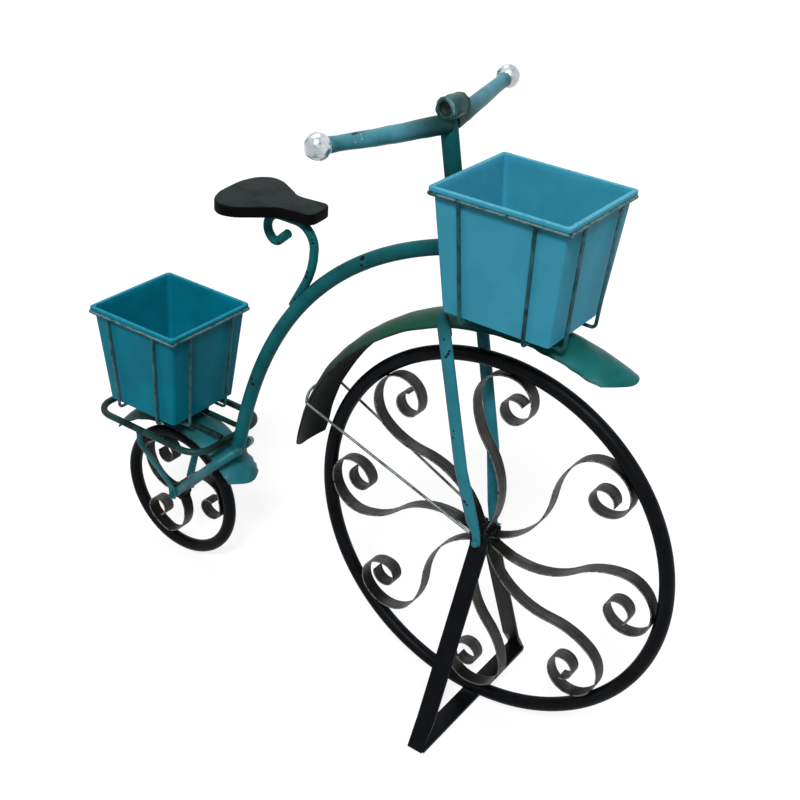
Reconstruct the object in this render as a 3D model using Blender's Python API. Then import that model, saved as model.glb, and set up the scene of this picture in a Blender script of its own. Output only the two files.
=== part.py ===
"""Penny-farthing plant stand in painted steel, with two lift-out square pots.

Metres, +X to the front of the bicycle, +Y to its left, +Z up. The origin is on the ground, under the
middle of the length, in the plane of both wheels. Places in the frame are given from the front axle.
"""
import bpy
import bmesh
from math import cos, hypot, pi, radians, sin
from mathutils import Matrix, Vector
from mathutils.geometry import interpolate_bezier

for thing in list(bpy.data.objects):
    bpy.data.objects.remove(thing, do_unlink=True)

# Gaps and cuts
FIT_GAP = 0.0003            # between pieces that touch, are welded or are bolted together
SIDE_PLAY = 0.0005          # between a turning hub and the eyes beside it
CUT_OVERRUN = 0.004         # how far a cutter runs past the wall that it cuts

# Wheels
WHEELBASE = 0.533
FRONT_WHEEL_RADIUS = 0.250  # from the axle to the middle of the rim tube
REAR_WHEEL_RADIUS = 0.098
RIM_TUBE_RADIUS = 0.0095
FRONT_WHEEL_LIFT = 0.013    # the stand holds the front wheel clear of the ground
HUB_RADIUS = 0.012
HUB_HALF_LENGTH = 0.011
HUB_CHAMFER = 0.002
STRIP_WIDTH = 0.020         # the flat steel strip that the scroll spokes are bent from
STRIP_THICKNESS = 0.002
FRONT_SCROLL_ANGLES = tuple(radians(a) for a in (0, 45, 90, 137, 185, 228, 274.5, 319.5))
REAR_SCROLL_ANGLES = tuple(radians(a) for a in (41, 155, 272))

# A scroll spoke is a chain of arcs that run into each other without a kink. Radii are shares of the
# wheel radius, and a positive turn bends the strip towards the clockwise side of the spoke.
FRONT_SCROLL_START_SHARES = (0.050, 0.012)
FRONT_SCROLL_HEADING = radians(29)
FRONT_SCROLL_ARC_RADIUS_SHARES = (0.425, 0.400, 0.177, 0.124, 0.066)
FRONT_SCROLL_ARC_TURNS = (radians(-70), radians(36), radians(110), radians(138), radians(257))
REAR_SCROLL_START_SHARES = (0.105, -0.057)
REAR_SCROLL_HEADING = radians(-31)
REAR_SCROLL_ARC_RADIUS_SHARES = (0.496, 0.188, 0.806, 0.197, 0.142)
REAR_SCROLL_ARC_TURNS = (radians(100), radians(43), radians(21), radians(133), radians(168))
SCROLL_DEGREES_A_STEP = 22

# Axle bolts
BOLT_RADIUS = 0.003
BOLT_CLEARANCE = 0.0003
BOLT_HEAD_RADIUS = 0.0058
BOLT_HEAD_HEIGHT = 0.004
NUT_HEIGHT = 0.005
BOLT_TAIL = 0.002           # thread that shows past the nut

# Fork
FORK_LEAN = radians(13)     # the legs lean back
FORK_LEG_WIDTH = 0.0175
FORK_LEG_THICKNESS = 0.011
FORK_KNEE_REACH = 0.110     # from the axle to where the leg bends in to the hub
FORK_KNEE_NARROWING = 0.003
FORK_KNEE_BEND = 0.040
FORK_TOP_RISE = 0.0035      # of the legs' rounded tops above the front fender's crown
FORK_EYE_RUN = 0.034        # the stretch that narrows down to the eye
FORK_EYE_WIDTH_SHARE = 0.78
FORK_TOP_ROUNDING_SHARES = (0.45, 0.80, 1.0)
FORK_TOP_STEP_SHARES = (0.0, 0.125, 0.5)     # of the leg's width, down from its top
EYE_END_WIDTH_SHARE = 0.6                    # of the eye's width, at the very end of a bar
EYE_THICKNESS = 0.007       # where a bar or tube is pressed flat round the axle bolt
EYE_END = 0.0075            # from the bolt's axis to the end of the bar
EYE_FLAT = 0.013            # how far up the bar it is flat

# Stem and handlebar
STEM_LEAN = radians(12)     # back from the front axle
STEM_RADIUS = 0.0105
SLEEVE_RADIUS = 0.0142      # short open sleeve across the top of the stem
SLEEVE_BORE_RADIUS = 0.0092
SLEEVE_HALF_LENGTH = 0.016
HANDLEBAR_HEIGHT = 0.5165   # above the front axle
SLEEVE_RISE = 0.0200        # from the handlebar up to the sleeve's axis
SLEEVE_FORWARD = 0.0080     # of the stem's line
STEM_TOP_BELOW_SLEEVE = 0.010
GRIP_REACH = 0.190          # from the middle of the bicycle to the middle of a ball
GRIP_SWEEP = 0.037          # how far the ball lies behind the stem
GRIP_RISE = 0.0085
GRIP_SAG = 0.0012           # how far the middle of each half hangs below a straight line
GRIP_ROOT_START = 0.004     # from the middle, where each half's end lies on the stem
GRIP_ROOT_RADIUS = 0.0112
GRIP_END_RADIUS = 0.0071
BALL_RADIUS = 0.015

# Backbone tube, a single bend from the stem down to the rear fender
BACKBONE_RADIUS = 0.0100
BACKBONE_HEAD_REACH = 0.384      # up the stem's line from the front axle
BACKBONE_HEAD_SLOPE = radians(15.9)
BACKBONE_HEAD_PULL = 0.3228
BACKBONE_TAIL_X = 0.1087         # from the rear axle
BACKBONE_TAIL_Z = 0.0965
BACKBONE_TAIL_LEAN = radians(17.3)
BACKBONE_TAIL_PULL = 0.0618
BACKBONE_TAIL_OVERRUN = 0.003

# Fenders, curved gutters pressed from sheet
FENDER_SHEET = 0.0015
FRONT_FENDER_RISE = 0.042        # of the crown above the tyre
FRONT_FENDER_HALF_WIDTH = 0.035
FRONT_FENDER_DEPTH = 0.014
FRONT_FENDER_FLARE_SHARE = 0.093
FRONT_FENDER_FLARE_START = radians(130)
FRONT_FENDER_FRONT = radians(60)
FRONT_FENDER_BACK = radians(177)
REAR_FENDER_RISE = 0.035
REAR_FENDER_HALF_WIDTH = 0.0335
REAR_FENDER_DEPTH = 0.011
REAR_FENDER_FLARE_SHARE = 0.125
REAR_FENDER_FLARE_START = radians(100)
REAR_FENDER_FRONT = radians(27)
REAR_FENDER_BACK = radians(143)
FENDER_FLARE_POWER = 1.3
SEAT_CUT_DEPTH = 0.022           # of the copy that trims what stands on a fender
FENDER_TIP_RUN_SHARE = 0.13      # of the fender's sweep, where each end rounds off
FENDER_TIP_WIDTH_SHARE = 0.30
FENDER_TIP_DEPTH_SHARE = 0.45

# Stay wire of the front fender
STAY_WIRE_RADIUS = 0.0019
STAY_WIRE_ANGLE = radians(158)   # where it wraps round the back of the fender
STAY_WIRE_BEND = 0.003
STAY_WIRE_EYE_TURN = radians(300)

# Stand
STAND_BAR_WIDTH = 0.025
STAND_BAR_THICKNESS = 0.005
STAND_FOOT_THICKNESS = 0.006
STAND_FOOT_FORWARD = 0.005       # the feet lie a little in front of the axle
STAND_FOOT_HALF_WIDTH = 0.135
STAND_TOP_RUN = 0.012            # straight stretch of the leg below the bolt
STAND_TOP_ABOVE_BOLT = 0.010

# Saddle and its bar
SEAT_BAR_RADIUS = 0.006
SEAT_BAR_ROOT_SHARE = 0.386     # of the backbone's sweep, from its head
SEAT_BAR_ROOT_LIFT = 0.0132      # of the bar's start above the backbone's middle line
SEAT_BAR_HEADING = radians(62)
SEAT_BAR_LEGS = (0.040, 0.0125, 0.039, 0.015)
SEAT_BAR_BEND_RADII = (0.1125, 0.0188, 0.0175, 0.0)
SEAT_BAR_BEND_TURNS = (radians(28), radians(90), radians(223), 0.0)
SADDLE_LENGTH = 0.129
SADDLE_HALF_WIDTH = 0.0608
SADDLE_YAW = radians(5)          # it is fixed a little askew
SADDLE_THICKNESS = 0.015
SADDLE_EDGE_BEVEL = 0.0016
SADDLE_NOSE_FORWARD = 0.0355     # of the bar's root
SADDLE_OUTLINE_LENGTH_SHARES = (0.0, 0.02, 0.06, 0.155, 0.295, 0.38, 0.44,
                                0.555, 0.67, 0.79, 0.88, 0.94, 0.98, 1.0)
SADDLE_OUTLINE_WIDTH_SHARES = (0.17, 0.32, 0.41, 0.42, 0.41, 0.44, 0.55,
                               0.76, 0.94, 1.0, 0.91, 0.76, 0.53, 0.28)

# Pots: length along the bicycle, then width, over the lip and at the bottom
FRONT_POT_TOP = (0.176, 0.161)
FRONT_POT_BOTTOM = (0.128, 0.1265)
REAR_POT_TOP = (0.161, 0.161)
REAR_POT_BOTTOM = (0.1265, 0.1265)
POT_HEIGHT = 0.150
POT_WALL = 0.0012
POT_LIP_OVERHANG = 0.0045
POT_LIP_HEIGHT = 0.0055
POT_CORNER_RADIUS = 0.004
FRONT_POT_FORWARD = 0.0716       # of the stem's line, level with the fender's crown
REAR_POT_BACK = 0.015            # behind the rear axle

# Wire baskets that the pots hang in
BASKET_WIRE_RADIUS = 0.00225
BASKET_RING_CLEARANCE = 0.0015   # between the ring and the pot's wall
BASKET_LOW_CLEARANCE = 0.0045    # between the wires and the pot's bottom edges
BASKET_FLOOR_CLEARANCE = 0.0015
BASKET_CORNER_RADIUS = 0.006
BASKET_TOP_SPREAD_SHARE = 0.27   # of the pot's side, from its middle to each of the two wires
BASKET_LOW_SPREAD_SHARE = 0.295

# Rear rack
RACK_BAR_RADIUS = 0.006
RACK_LENGTH = 0.2045
RACK_HALF_WIDTH = 0.0720
RACK_FRONT_X = 0.1005            # from the rear axle to the middle of the front bar
RACK_BELOW_CROWN = 0.0074        # of the rear fender
RACK_CORNER_RADIUS = 0.032
RACK_RAIL_RADIUS = 0.004
RACK_RAIL_HALF_SPACING = 0.019

# Stays down to the rear axle
REAR_STAY_RADIUS = 0.007
REAR_STAY_TOPS = ((0.1245, 0.1280), (0.1150, 0.1255))    # from the rear axle, the right one first
REAR_STAY_BOW_SHARE = 0.87       # of the way up from the axle, where it clears the fender's edge
REAR_STAY_BOW_CLEARANCE = 0.003
REAR_STAY_BEND = 0.014
RACK_STAY_RADIUS = 0.0042
RACK_STAY_THICKNESS = 0.003      # where its end is hammered flat
RACK_STAY_EYE_SHARE = 1.75       # of its radius, where it is hammered wide
RACK_STAY_BACK = 0.0125          # behind the rear axle at the top
RACK_STAY_TOP_RUN = 0.016
RACK_STAY_BEND = 0.020

# Facets
RIM_STEPS = 64
REAR_RIM_STEPS = 36
RIM_SIDES = 12
FRONT_FENDER_STEPS = 24
REAR_FENDER_STEPS = 14
FENDER_ACROSS_STEPS = 8
BACKBONE_STEPS = 20
SEAT_ROOT_SAMPLES = 501
ROUND_SIDES = 16
BALL_SIDES = 16
BALL_RINGS = 8
SMOOTH_ANGLE = radians(38)

# Places that follow from the sizes above
FRONT_TYRE = FRONT_WHEEL_RADIUS + RIM_TUBE_RADIUS
REAR_TYRE = REAR_WHEEL_RADIUS + RIM_TUBE_RADIUS
FRONT_FENDER_RADIUS = FRONT_TYRE + FRONT_FENDER_RISE
REAR_FENDER_RADIUS = REAR_TYRE + REAR_FENDER_RISE
BACK_REACH = -REAR_FENDER_RADIUS * cos(REAR_FENDER_BACK)     # the fender's tip is the rearmost point
FRONT_AXLE = Vector(((WHEELBASE + BACK_REACH - FRONT_TYRE) / 2, 0.0, FRONT_WHEEL_LIFT + FRONT_TYRE))
REAR_AXLE = Vector((FRONT_AXLE.x - WHEELBASE, 0.0, REAR_TYRE))
STEM_LINE = Vector((-sin(STEM_LEAN), 0.0, cos(STEM_LEAN)))
FORK_LINE = Vector((-sin(FORK_LEAN), 0.0, cos(FORK_LEAN)))
FORK_TOP_REACH = FRONT_FENDER_RADIUS + FORK_TOP_RISE
EYE_Y = HUB_HALF_LENGTH + SIDE_PLAY + EYE_THICKNESS / 2
OUTSIDE_EYE = EYE_Y + EYE_THICKNESS / 2 + FIT_GAP
STAND_LEG_Y = OUTSIDE_EYE + STAND_BAR_THICKNESS / 2
STAY_WIRE_Y = OUTSIDE_EYE + STAND_BAR_THICKNESS + FIT_GAP + STAY_WIRE_RADIUS
FRONT_STACK = STAY_WIRE_Y + STAY_WIRE_RADIUS + FIT_GAP
RACK_STAY_Y = OUTSIDE_EYE + RACK_STAY_THICKNESS / 2
REAR_STACK = RACK_STAY_Y + RACK_STAY_THICKNESS / 2 + FIT_GAP
BORE_RADIUS = BOLT_RADIUS + BOLT_CLEARANCE
RIGHT, LEFT = -1, 1
SIDES = (("right", RIGHT), ("left", LEFT))


def make_material(name, colour, roughness, metallic):
    """A plain Principled material."""
    material = bpy.data.materials.new(name)
    material.use_nodes = True
    shader = material.node_tree.nodes["Principled BSDF"]
    shader.inputs["Base Color"].default_value = (*colour, 1.0)
    shader.inputs["Roughness"].default_value = roughness
    shader.inputs["Metallic"].default_value = metallic
    material.diffuse_color = (*colour, 1.0)
    return material


TEAL = make_material("teal_paint", (0.024, 0.150, 0.180), 0.42, 0.25)
POT_TEAL = make_material("pot_paint", (0.030, 0.220, 0.330), 0.45, 0.1)
GREEN = make_material("dark_green_paint", (0.008, 0.060, 0.050), 0.45, 0.3)
BLACK = make_material("black_paint", (0.006, 0.007, 0.009), 0.38, 0.2)
GUNMETAL = make_material("burnished_steel", (0.150, 0.152, 0.140), 0.38, 0.9)
BARE_STEEL = make_material("bare_steel", (0.550, 0.560, 0.560), 0.22, 1.0)
SLATE = make_material("saddle_board", (0.012, 0.013, 0.014), 0.65, 0.0)


def add_piece(name, mesh, material):
    """Put a mesh in the scene as a named piece, smooth on its rounds and sharp on its edges."""
    mesh.name = name
    mesh.materials.clear()
    mesh.materials.append(material)
    mesh.shade_smooth()
    mesh.set_sharp_from_angle(angle=SMOOTH_ANGLE)
    piece = bpy.data.objects.new(name, mesh)
    bpy.context.scene.collection.objects.link(piece)
    return piece


def add_cutter(name, mesh):
    """A shape that only cuts others and isn't part of the object."""
    cutter = bpy.data.objects.new(name + "_cutter", mesh)
    cutter.hide_render = True
    cutter.display_type = "WIRE"
    bpy.context.scene.collection.objects.link(cutter)
    return cutter


def cut(piece, cutter):
    """Cut a piece with an exact Boolean."""
    trim = piece.modifiers.new(cutter.name, "BOOLEAN")
    trim.operation = "DIFFERENCE"
    trim.solver = "EXACT"
    trim.object = cutter


def mesh_from(bm):
    """Close off a bmesh with its faces pointing out, and return its mesh."""
    bmesh.ops.recalc_face_normals(bm, faces=bm.faces)
    mesh = bpy.data.meshes.new("mesh")
    bm.to_mesh(mesh)
    bm.free()
    return mesh


def tube_mesh(points, radius, taper_shares=None, closed=False, roundness=4):
    """A round bar along a path: a curve with a round bevel, made a mesh."""
    curve = bpy.data.curves.new("path", "CURVE")
    curve.dimensions = "3D"
    curve.bevel_depth = radius
    curve.bevel_resolution = roundness
    curve.use_fill_caps = not closed
    spline = curve.splines.new("POLY")
    spline.points.add(len(points) - 1)
    spline.use_cyclic_u = closed
    for index, place in enumerate(points):
        spline.points[index].co = (*place, 1.0)
        spline.points[index].radius = taper_shares[index] if taper_shares else 1.0
    holder = bpy.data.objects.new("path", curve)
    mesh = bpy.data.meshes.new_from_object(holder)
    bpy.data.objects.remove(holder)
    bpy.data.curves.remove(curve)
    bm = bmesh.new()
    bm.from_mesh(mesh)
    bmesh.ops.remove_doubles(bm, verts=bm.verts, dist=FIT_GAP / 10)
    return mesh_from(bm)


def ribbon_mesh(points, width):
    """A strip without thickness: a path pulled out sideways by the strip's width."""
    bm = bmesh.new()
    path = [bm.verts.new(point - width / 2) for point in points]
    edges = [bm.edges.new(pair) for pair in zip(path, path[1:])]
    pulled = bmesh.ops.extrude_edge_only(bm, edges=edges)["geom"]
    bmesh.ops.translate(bm, verts=[v for v in pulled if isinstance(v, bmesh.types.BMVert)], vec=width)
    return mesh_from(bm)


def thicken(piece, thickness, offset=0.0):
    """Give a sheet or strip its thickness."""
    solidify = piece.modifiers.new("thickness", "SOLIDIFY")
    solidify.thickness = thickness
    solidify.offset = offset
    solidify.use_even_offset = True


def spun_mesh(profile, steps, centre):
    """Spin a closed outline of (radius, y) round the Y axis through the centre."""
    bm = bmesh.new()
    loop = [bm.verts.new(centre + Vector((radius, y, 0.0))) for radius, y in profile]
    edges = [bm.edges.new((loop[i - 1], loop[i])) for i in range(len(loop))]
    bmesh.ops.spin(bm, geom=edges, cent=centre, axis=(0.0, 1.0, 0.0), angle=2 * pi, steps=steps,
                   use_merge=True)
    return mesh_from(bm)


def prism_mesh(centre, radius, length, sides):
    """A straight bar of that many sides, lying along Y."""
    bm = bmesh.new()
    bmesh.ops.create_cone(bm, cap_ends=True, segments=sides, radius1=radius, radius2=radius, depth=length,
                          matrix=Matrix.Translation(centre) @ Matrix.Rotation(pi / 2, 4, "X"))
    return mesh_from(bm)


def drill(pieces, name, centre, radius, length):
    """Drill one hole along Y through several pieces."""
    cutter = add_cutter(name, prism_mesh(centre, radius, length, ROUND_SIDES))
    for piece in pieces:
        cut(piece, cutter)


def filleted(corners, radius, steps=4, closed=False):
    """A path through the corners, each rounded by an arc of the radius."""
    path = []
    count = len(corners)
    for index, corner in enumerate(corners):
        if not closed and index in (0, count - 1):
            path.append(corner.copy())
            continue
        back = (corners[index - 1] - corner).normalized()
        ahead = (corners[(index + 1) % count] - corner).normalized()
        turn = pi - back.angle(ahead)
        run = radius * sin(turn / 2) / cos(turn / 2)
        pull = 4 / 3 * radius * sin(turn / 4) / cos(turn / 4)
        start, end = corner + back * run, corner + ahead * run
        path += interpolate_bezier(start, start - back * pull, end - ahead * pull, end, steps + 1)
    return path


def arc_chain(start, heading, radii, turns, legs=None):
    """Follow straight legs and arcs that run into each other, in a flat plane of (u, v).

    Each arc comes after its leg, and a positive turn bends to the left.
    """
    place = list(start)
    path = [tuple(place)]
    for index, (radius, turn) in enumerate(zip(radii, turns)):
        leg = legs[index] if legs else 0.0
        if leg:
            place = [place[0] + leg * cos(heading), place[1] + leg * sin(heading)]
            path.append(tuple(place))
        if not turn:
            continue
        side = 1 if turn > 0 else -1
        centre = (place[0] - side * radius * sin(heading), place[1] + side * radius * cos(heading))
        steps = max(2, round(abs(turn) / radians(SCROLL_DEGREES_A_STEP)))
        for step in range(1, steps + 1):
            angle = heading + turn * step / steps
            place = [centre[0] + side * radius * sin(angle), centre[1] - side * radius * cos(angle)]
            path.append(tuple(place))
        heading += turn
    return path


def scroll_points(arc_radius_shares, turns, start_shares, heading, reach, angle):
    """One scroll spoke in its wheel: from the hub, out to the rim and round into its eye."""
    outline = arc_chain(start_shares, heading, arc_radius_shares, turns)
    scale = reach / max(hypot(out, across) for out, across in outline)
    outward = Vector((cos(angle), 0.0, sin(angle)))
    clockwise = Vector((sin(angle), 0.0, -cos(angle)))
    hub_start = HUB_RADIUS + 2 * FIT_GAP
    inner = hypot(*outline[0]) * scale
    points = []
    for out, across in outline:
        distance = hypot(out, across) * scale
        grown = hub_start + (distance - inner) * (reach - hub_start) / (reach - inner)
        points.append((outward * out + clockwise * across) * scale * grown / distance)
    return points


def build_wheel(end, axle, radius, rim_steps, half, scroll_angles, scroll):
    """A wheel of one end, front or rear: rim, hub and its ring of scroll spokes, turning on the axle."""
    pivot = bpy.data.objects.new(end + "_wheel_pivot", None)
    pivot.location = axle
    bpy.context.scene.collection.objects.link(pivot)
    circle = [2 * pi * i / RIM_SIDES for i in range(RIM_SIDES)]
    rim_outline = [(radius + RIM_TUBE_RADIUS * cos(a), RIM_TUBE_RADIUS * sin(a)) for a in circle]
    chamfer = HUB_CHAMFER
    hub_outline = [(BORE_RADIUS, -half), (HUB_RADIUS - chamfer, -half), (HUB_RADIUS, chamfer - half),
                   (HUB_RADIUS, half - chamfer), (HUB_RADIUS - chamfer, half), (BORE_RADIUS, half)]
    origin = Vector()
    pieces = [add_piece(end + "_rim", spun_mesh(rim_outline, rim_steps, origin), BLACK),
              add_piece(end + "_hub", spun_mesh(hub_outline, ROUND_SIDES, origin), BLACK)]
    for number, angle in enumerate(scroll_angles, 1):
        reach = (radius - RIM_TUBE_RADIUS) * cos(pi / rim_steps) - FIT_GAP - STRIP_THICKNESS / 2
        path = scroll_points(*scroll, reach, angle)
        spoke = add_piece(f"{end}_scroll_{number}", ribbon_mesh(path, Vector((0.0, STRIP_WIDTH, 0.0))),
                          GUNMETAL)
        thicken(spoke, STRIP_THICKNESS)
        pieces.append(spoke)
    for piece in pieces:
        piece.parent = pivot


class Fender:
    """A gutter of sheet that follows a wheel: round its crown, flared and flattened to the front."""

    def __init__(self, axle, radius, half_width, depth, flare_share, flare_start, front, back, steps):
        self.axle, self.radius, self.half_width, self.depth = axle, radius, half_width, depth
        self.flare_share, self.flare_start, self.front, self.back = flare_share, flare_start, front, back
        self.steps = steps

    def flare(self, angle):
        """How far the angle has come from the flare's start to the front tip, from 0 to 1."""
        return max(0.0, (self.flare_start - angle) / (self.flare_start - self.front))

    def crown(self, angle):
        """The radius of the crown's outside at an angle round the axle."""
        return self.radius * (1 + self.flare_share * self.flare(angle) ** FENDER_FLARE_POWER)

    def edge_drop(self, angle):
        """How far the edges lie below the crown."""
        return self.depth * self.tip(angle, FENDER_TIP_DEPTH_SHARE)

    def width(self, angle):
        """Half the width at an angle, drawn in at both rounded ends."""
        return self.half_width * self.tip(angle, FENDER_TIP_WIDTH_SHARE)

    def tip(self, angle, end_share):
        """1 along the fender, falling to the end's share round each tip."""
        along = (angle - self.front) / (self.back - self.front)
        left = min(along, 1 - along) / FENDER_TIP_RUN_SHARE
        return 1.0 if left >= 1 else end_share + (1 - end_share) * (1 - (1 - left) ** 2) ** 0.5

    def place(self, angle, across_share, lift=0.0):
        """A point on the outside: across_share runs from -1 on the right edge to 1 on the left one."""
        radius = self.crown(angle) - self.edge_drop(angle) * across_share ** 2 + lift
        across = self.width(angle) * across_share
        return self.axle + Vector((radius * cos(angle), across, radius * sin(angle)))

    def off_surface(self, angle, across_share, lift):
        """A point at a height square off the outside."""
        slope = 2 * self.edge_drop(angle) * across_share / self.width(angle)
        spot = self.place(angle, across_share, lift / hypot(1.0, slope))
        spot.y += lift * slope / hypot(1.0, slope)
        return spot

    def sheet(self, lift=0.0):
        """The outside of the gutter as a net of faces, or that net lifted off it."""
        bm = bmesh.new()
        rows = []
        for step in range(self.steps + 1):
            angle = self.front + (self.back - self.front) * (1 - cos(pi * step / self.steps)) / 2
            shares = [2 * j / FENDER_ACROSS_STEPS - 1 for j in range(FENDER_ACROSS_STEPS + 1)]
            rows.append([bm.verts.new(self.place(angle, share, lift)) for share in shares])
        for row, after in zip(rows, rows[1:]):
            for j in range(FENDER_ACROSS_STEPS):
                bm.faces.new((row[j], row[j + 1], after[j + 1], after[j]))
        mesh = bpy.data.meshes.new("sheet")
        bm.to_mesh(mesh)
        bm.free()
        return mesh

    def add(self, name, material):
        """The fender itself, its sheet laid inside the net."""
        piece = add_piece(name, self.sheet(), material)
        thicken(piece, FENDER_SHEET, offset=-1.0)
        return piece

    def seat_cutter(self, name):
        """A thick copy that trims what is welded to the outside, with the gap between them."""
        cutter = add_cutter(name, self.sheet(lift=FIT_GAP))
        thicken(cutter, SEAT_CUT_DEPTH, offset=-1.0)
        return cutter

    def top_between(self, low_x, high_x):
        """The crown's greatest height over a stretch of the length."""
        heights = []
        samples = 720
        for step in range(samples + 1):
            angle = self.front + (self.back - self.front) * step / samples
            spot = self.place(angle, 0.0)
            if low_x <= spot.x <= high_x:
                heights.append(spot.z)
        return max(heights)


def press_flat(mesh, centre, reach, thickness, full):
    """Press the end of a bar flat in Y round a bolt: full is its thickness before."""
    for vertex in mesh.vertices:
        away = max(0.0, (vertex.co - centre).length / reach - 1)
        share = thickness / full + (1 - thickness / full) * min(1.0, away)
        vertex.co.y = centre.y + (vertex.co.y - centre.y) * share if away < 1 else vertex.co.y


def build_fork(fender):
    """Two oval legs, welded to the fender's flanks and pressed flat round the axle bolt."""
    legs = []
    top_y = fender.half_width + FIT_GAP + FORK_LEG_THICKNESS / 2
    knee_y = top_y - FORK_KNEE_NARROWING
    squash = FORK_LEG_THICKNESS / FORK_LEG_WIDTH
    for side_name, side in SIDES:
        top = FRONT_AXLE + FORK_LINE * FORK_TOP_REACH + Vector((0.0, side * top_y, 0.0))
        knee = FRONT_AXLE + FORK_LINE * FORK_KNEE_REACH + Vector((0.0, side * knee_y, 0.0))
        eye = FRONT_AXLE + Vector((0.0, side * EYE_Y, 0.0))
        end = eye - FORK_LINE * EYE_END
        neck = eye + (knee - eye).normalized() * FORK_EYE_RUN
        bend = filleted([top, knee, neck], FORK_KNEE_BEND, steps=5)
        rounded_top = [top - FORK_LINE * FORK_LEG_WIDTH * share for share in FORK_TOP_STEP_SHARES]
        flat = eye + FORK_LINE * EYE_FLAT
        path = rounded_top + bend[1:] + [flat, eye, end]
        shares = list(FORK_TOP_ROUNDING_SHARES) + [1.0] * (len(bend) - 1) + [FORK_EYE_WIDTH_SHARE] * 3
        shares[-1] *= EYE_END_WIDTH_SHARE
        wide = [Vector((p.x, p.y / squash, p.z)) for p in path]
        mesh = tube_mesh(wide, FORK_LEG_WIDTH / 2, shares, roundness=3)
        mesh.transform(Matrix.Diagonal((1.0, squash, 1.0, 1.0)))
        press_flat(mesh, eye, EYE_FLAT, EYE_THICKNESS, FORK_LEG_THICKNESS * FORK_EYE_WIDTH_SHARE)
        legs.append(add_piece("fork_leg_" + side_name, mesh, TEAL))
    return legs


def build_stem(fender):
    """The stem on the front fender, its open sleeve, and both halves of the handlebar with their balls."""
    bar_root = FRONT_AXLE + STEM_LINE * (HANDLEBAR_HEIGHT / cos(STEM_LEAN))
    stem_top = bar_root + STEM_LINE * ((SLEEVE_RISE - STEM_TOP_BELOW_SLEEVE) / cos(STEM_LEAN))
    sleeve = bar_root + STEM_LINE * (SLEEVE_RISE / cos(STEM_LEAN)) + Vector((SLEEVE_FORWARD, 0.0, 0.0))
    foot = FRONT_AXLE + STEM_LINE * (fender.radius - fender.depth / 2)
    stem = add_piece("stem", tube_mesh([foot, stem_top], STEM_RADIUS), TEAL)
    cut(stem, fender.seat_cutter("stem_foot"))
    seat = prism_mesh(sleeve, SLEEVE_RADIUS + FIT_GAP, 2 * (SLEEVE_HALF_LENGTH + FIT_GAP), ROUND_SIDES)
    sleeve_seat = add_cutter("sleeve_seat", seat)
    cut(stem, sleeve_seat)
    half = SLEEVE_HALF_LENGTH
    outline = [(SLEEVE_BORE_RADIUS, -half), (SLEEVE_RADIUS, -half), (SLEEVE_RADIUS, half),
               (SLEEVE_BORE_RADIUS, half)]
    add_piece("stem_sleeve", spun_mesh(outline, ROUND_SIDES, sleeve), TEAL)
    past_top = stem_top + STEM_LINE * (SLEEVE_RADIUS + CUT_OVERRUN)
    stem_seat = add_cutter("stem_seat", tube_mesh([foot, past_top], STEM_RADIUS + FIT_GAP))
    for side_name, side in SIDES:
        ball = bar_root + Vector((-GRIP_SWEEP, side * GRIP_REACH, GRIP_RISE))
        steps = 6
        path = [bar_root.lerp(ball, i / steps) for i in range(steps + 1)]
        for i, spot in enumerate(path):
            spot.z -= GRIP_SAG * sin(pi * i / steps)
        end_share = GRIP_END_RADIUS / GRIP_ROOT_RADIUS
        shares = [1 + (end_share - 1) * i / steps for i in range(steps + 1)]
        grip = add_piece("handlebar_" + side_name, tube_mesh(path, GRIP_ROOT_RADIUS, shares), TEAL)
        cut(grip, stem_seat)
        cut(grip, sleeve_seat)
        cut(grip, add_cutter("ball_seat_" + side_name, ball_mesh(ball, BALL_RADIUS + FIT_GAP)))
        other_side = bar_root - Vector((0.0, side * (GRIP_REACH / 2 - GRIP_ROOT_START), 0.0))
        cut(grip, add_cutter("middle_" + side_name, prism_mesh(other_side, 2 * BALL_RADIUS, GRIP_REACH,
                                                               ROUND_SIDES)))
        add_piece("handlebar_ball_" + side_name, ball_mesh(ball, BALL_RADIUS), BARE_STEEL)
    return stem_seat


def ball_mesh(centre, radius):
    """A ball."""
    bm = bmesh.new()
    bmesh.ops.create_uvsphere(bm, u_segments=BALL_SIDES, v_segments=BALL_RINGS, radius=radius,
                              matrix=Matrix.Translation(centre))
    return mesh_from(bm)


def backbone_path(samples=BACKBONE_STEPS):
    """The backbone's centreline, from inside the stem to just inside the rear fender."""
    head = FRONT_AXLE + STEM_LINE * BACKBONE_HEAD_REACH
    tail = REAR_AXLE + Vector((BACKBONE_TAIL_X, 0.0, BACKBONE_TAIL_Z))
    head_pull = Vector((-cos(BACKBONE_HEAD_SLOPE), 0.0, -sin(BACKBONE_HEAD_SLOPE))) * BACKBONE_HEAD_PULL
    tail_line = Vector((sin(BACKBONE_TAIL_LEAN), 0.0, cos(BACKBONE_TAIL_LEAN)))
    path = interpolate_bezier(head, head + head_pull, tail + tail_line * BACKBONE_TAIL_PULL, tail, samples)
    return path + [tail - tail_line * BACKBONE_TAIL_OVERRUN]


def build_backbone(stem_seat, rear_fender):
    """The bent tube from the stem to the rear fender."""
    path = backbone_path()
    backbone = add_piece("backbone_tube", tube_mesh(path, BACKBONE_RADIUS), TEAL)
    cut(backbone, stem_seat)
    cut(backbone, rear_fender.seat_cutter("backbone_foot"))
    return add_cutter("backbone_seat", tube_mesh(path, BACKBONE_RADIUS + FIT_GAP))


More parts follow.
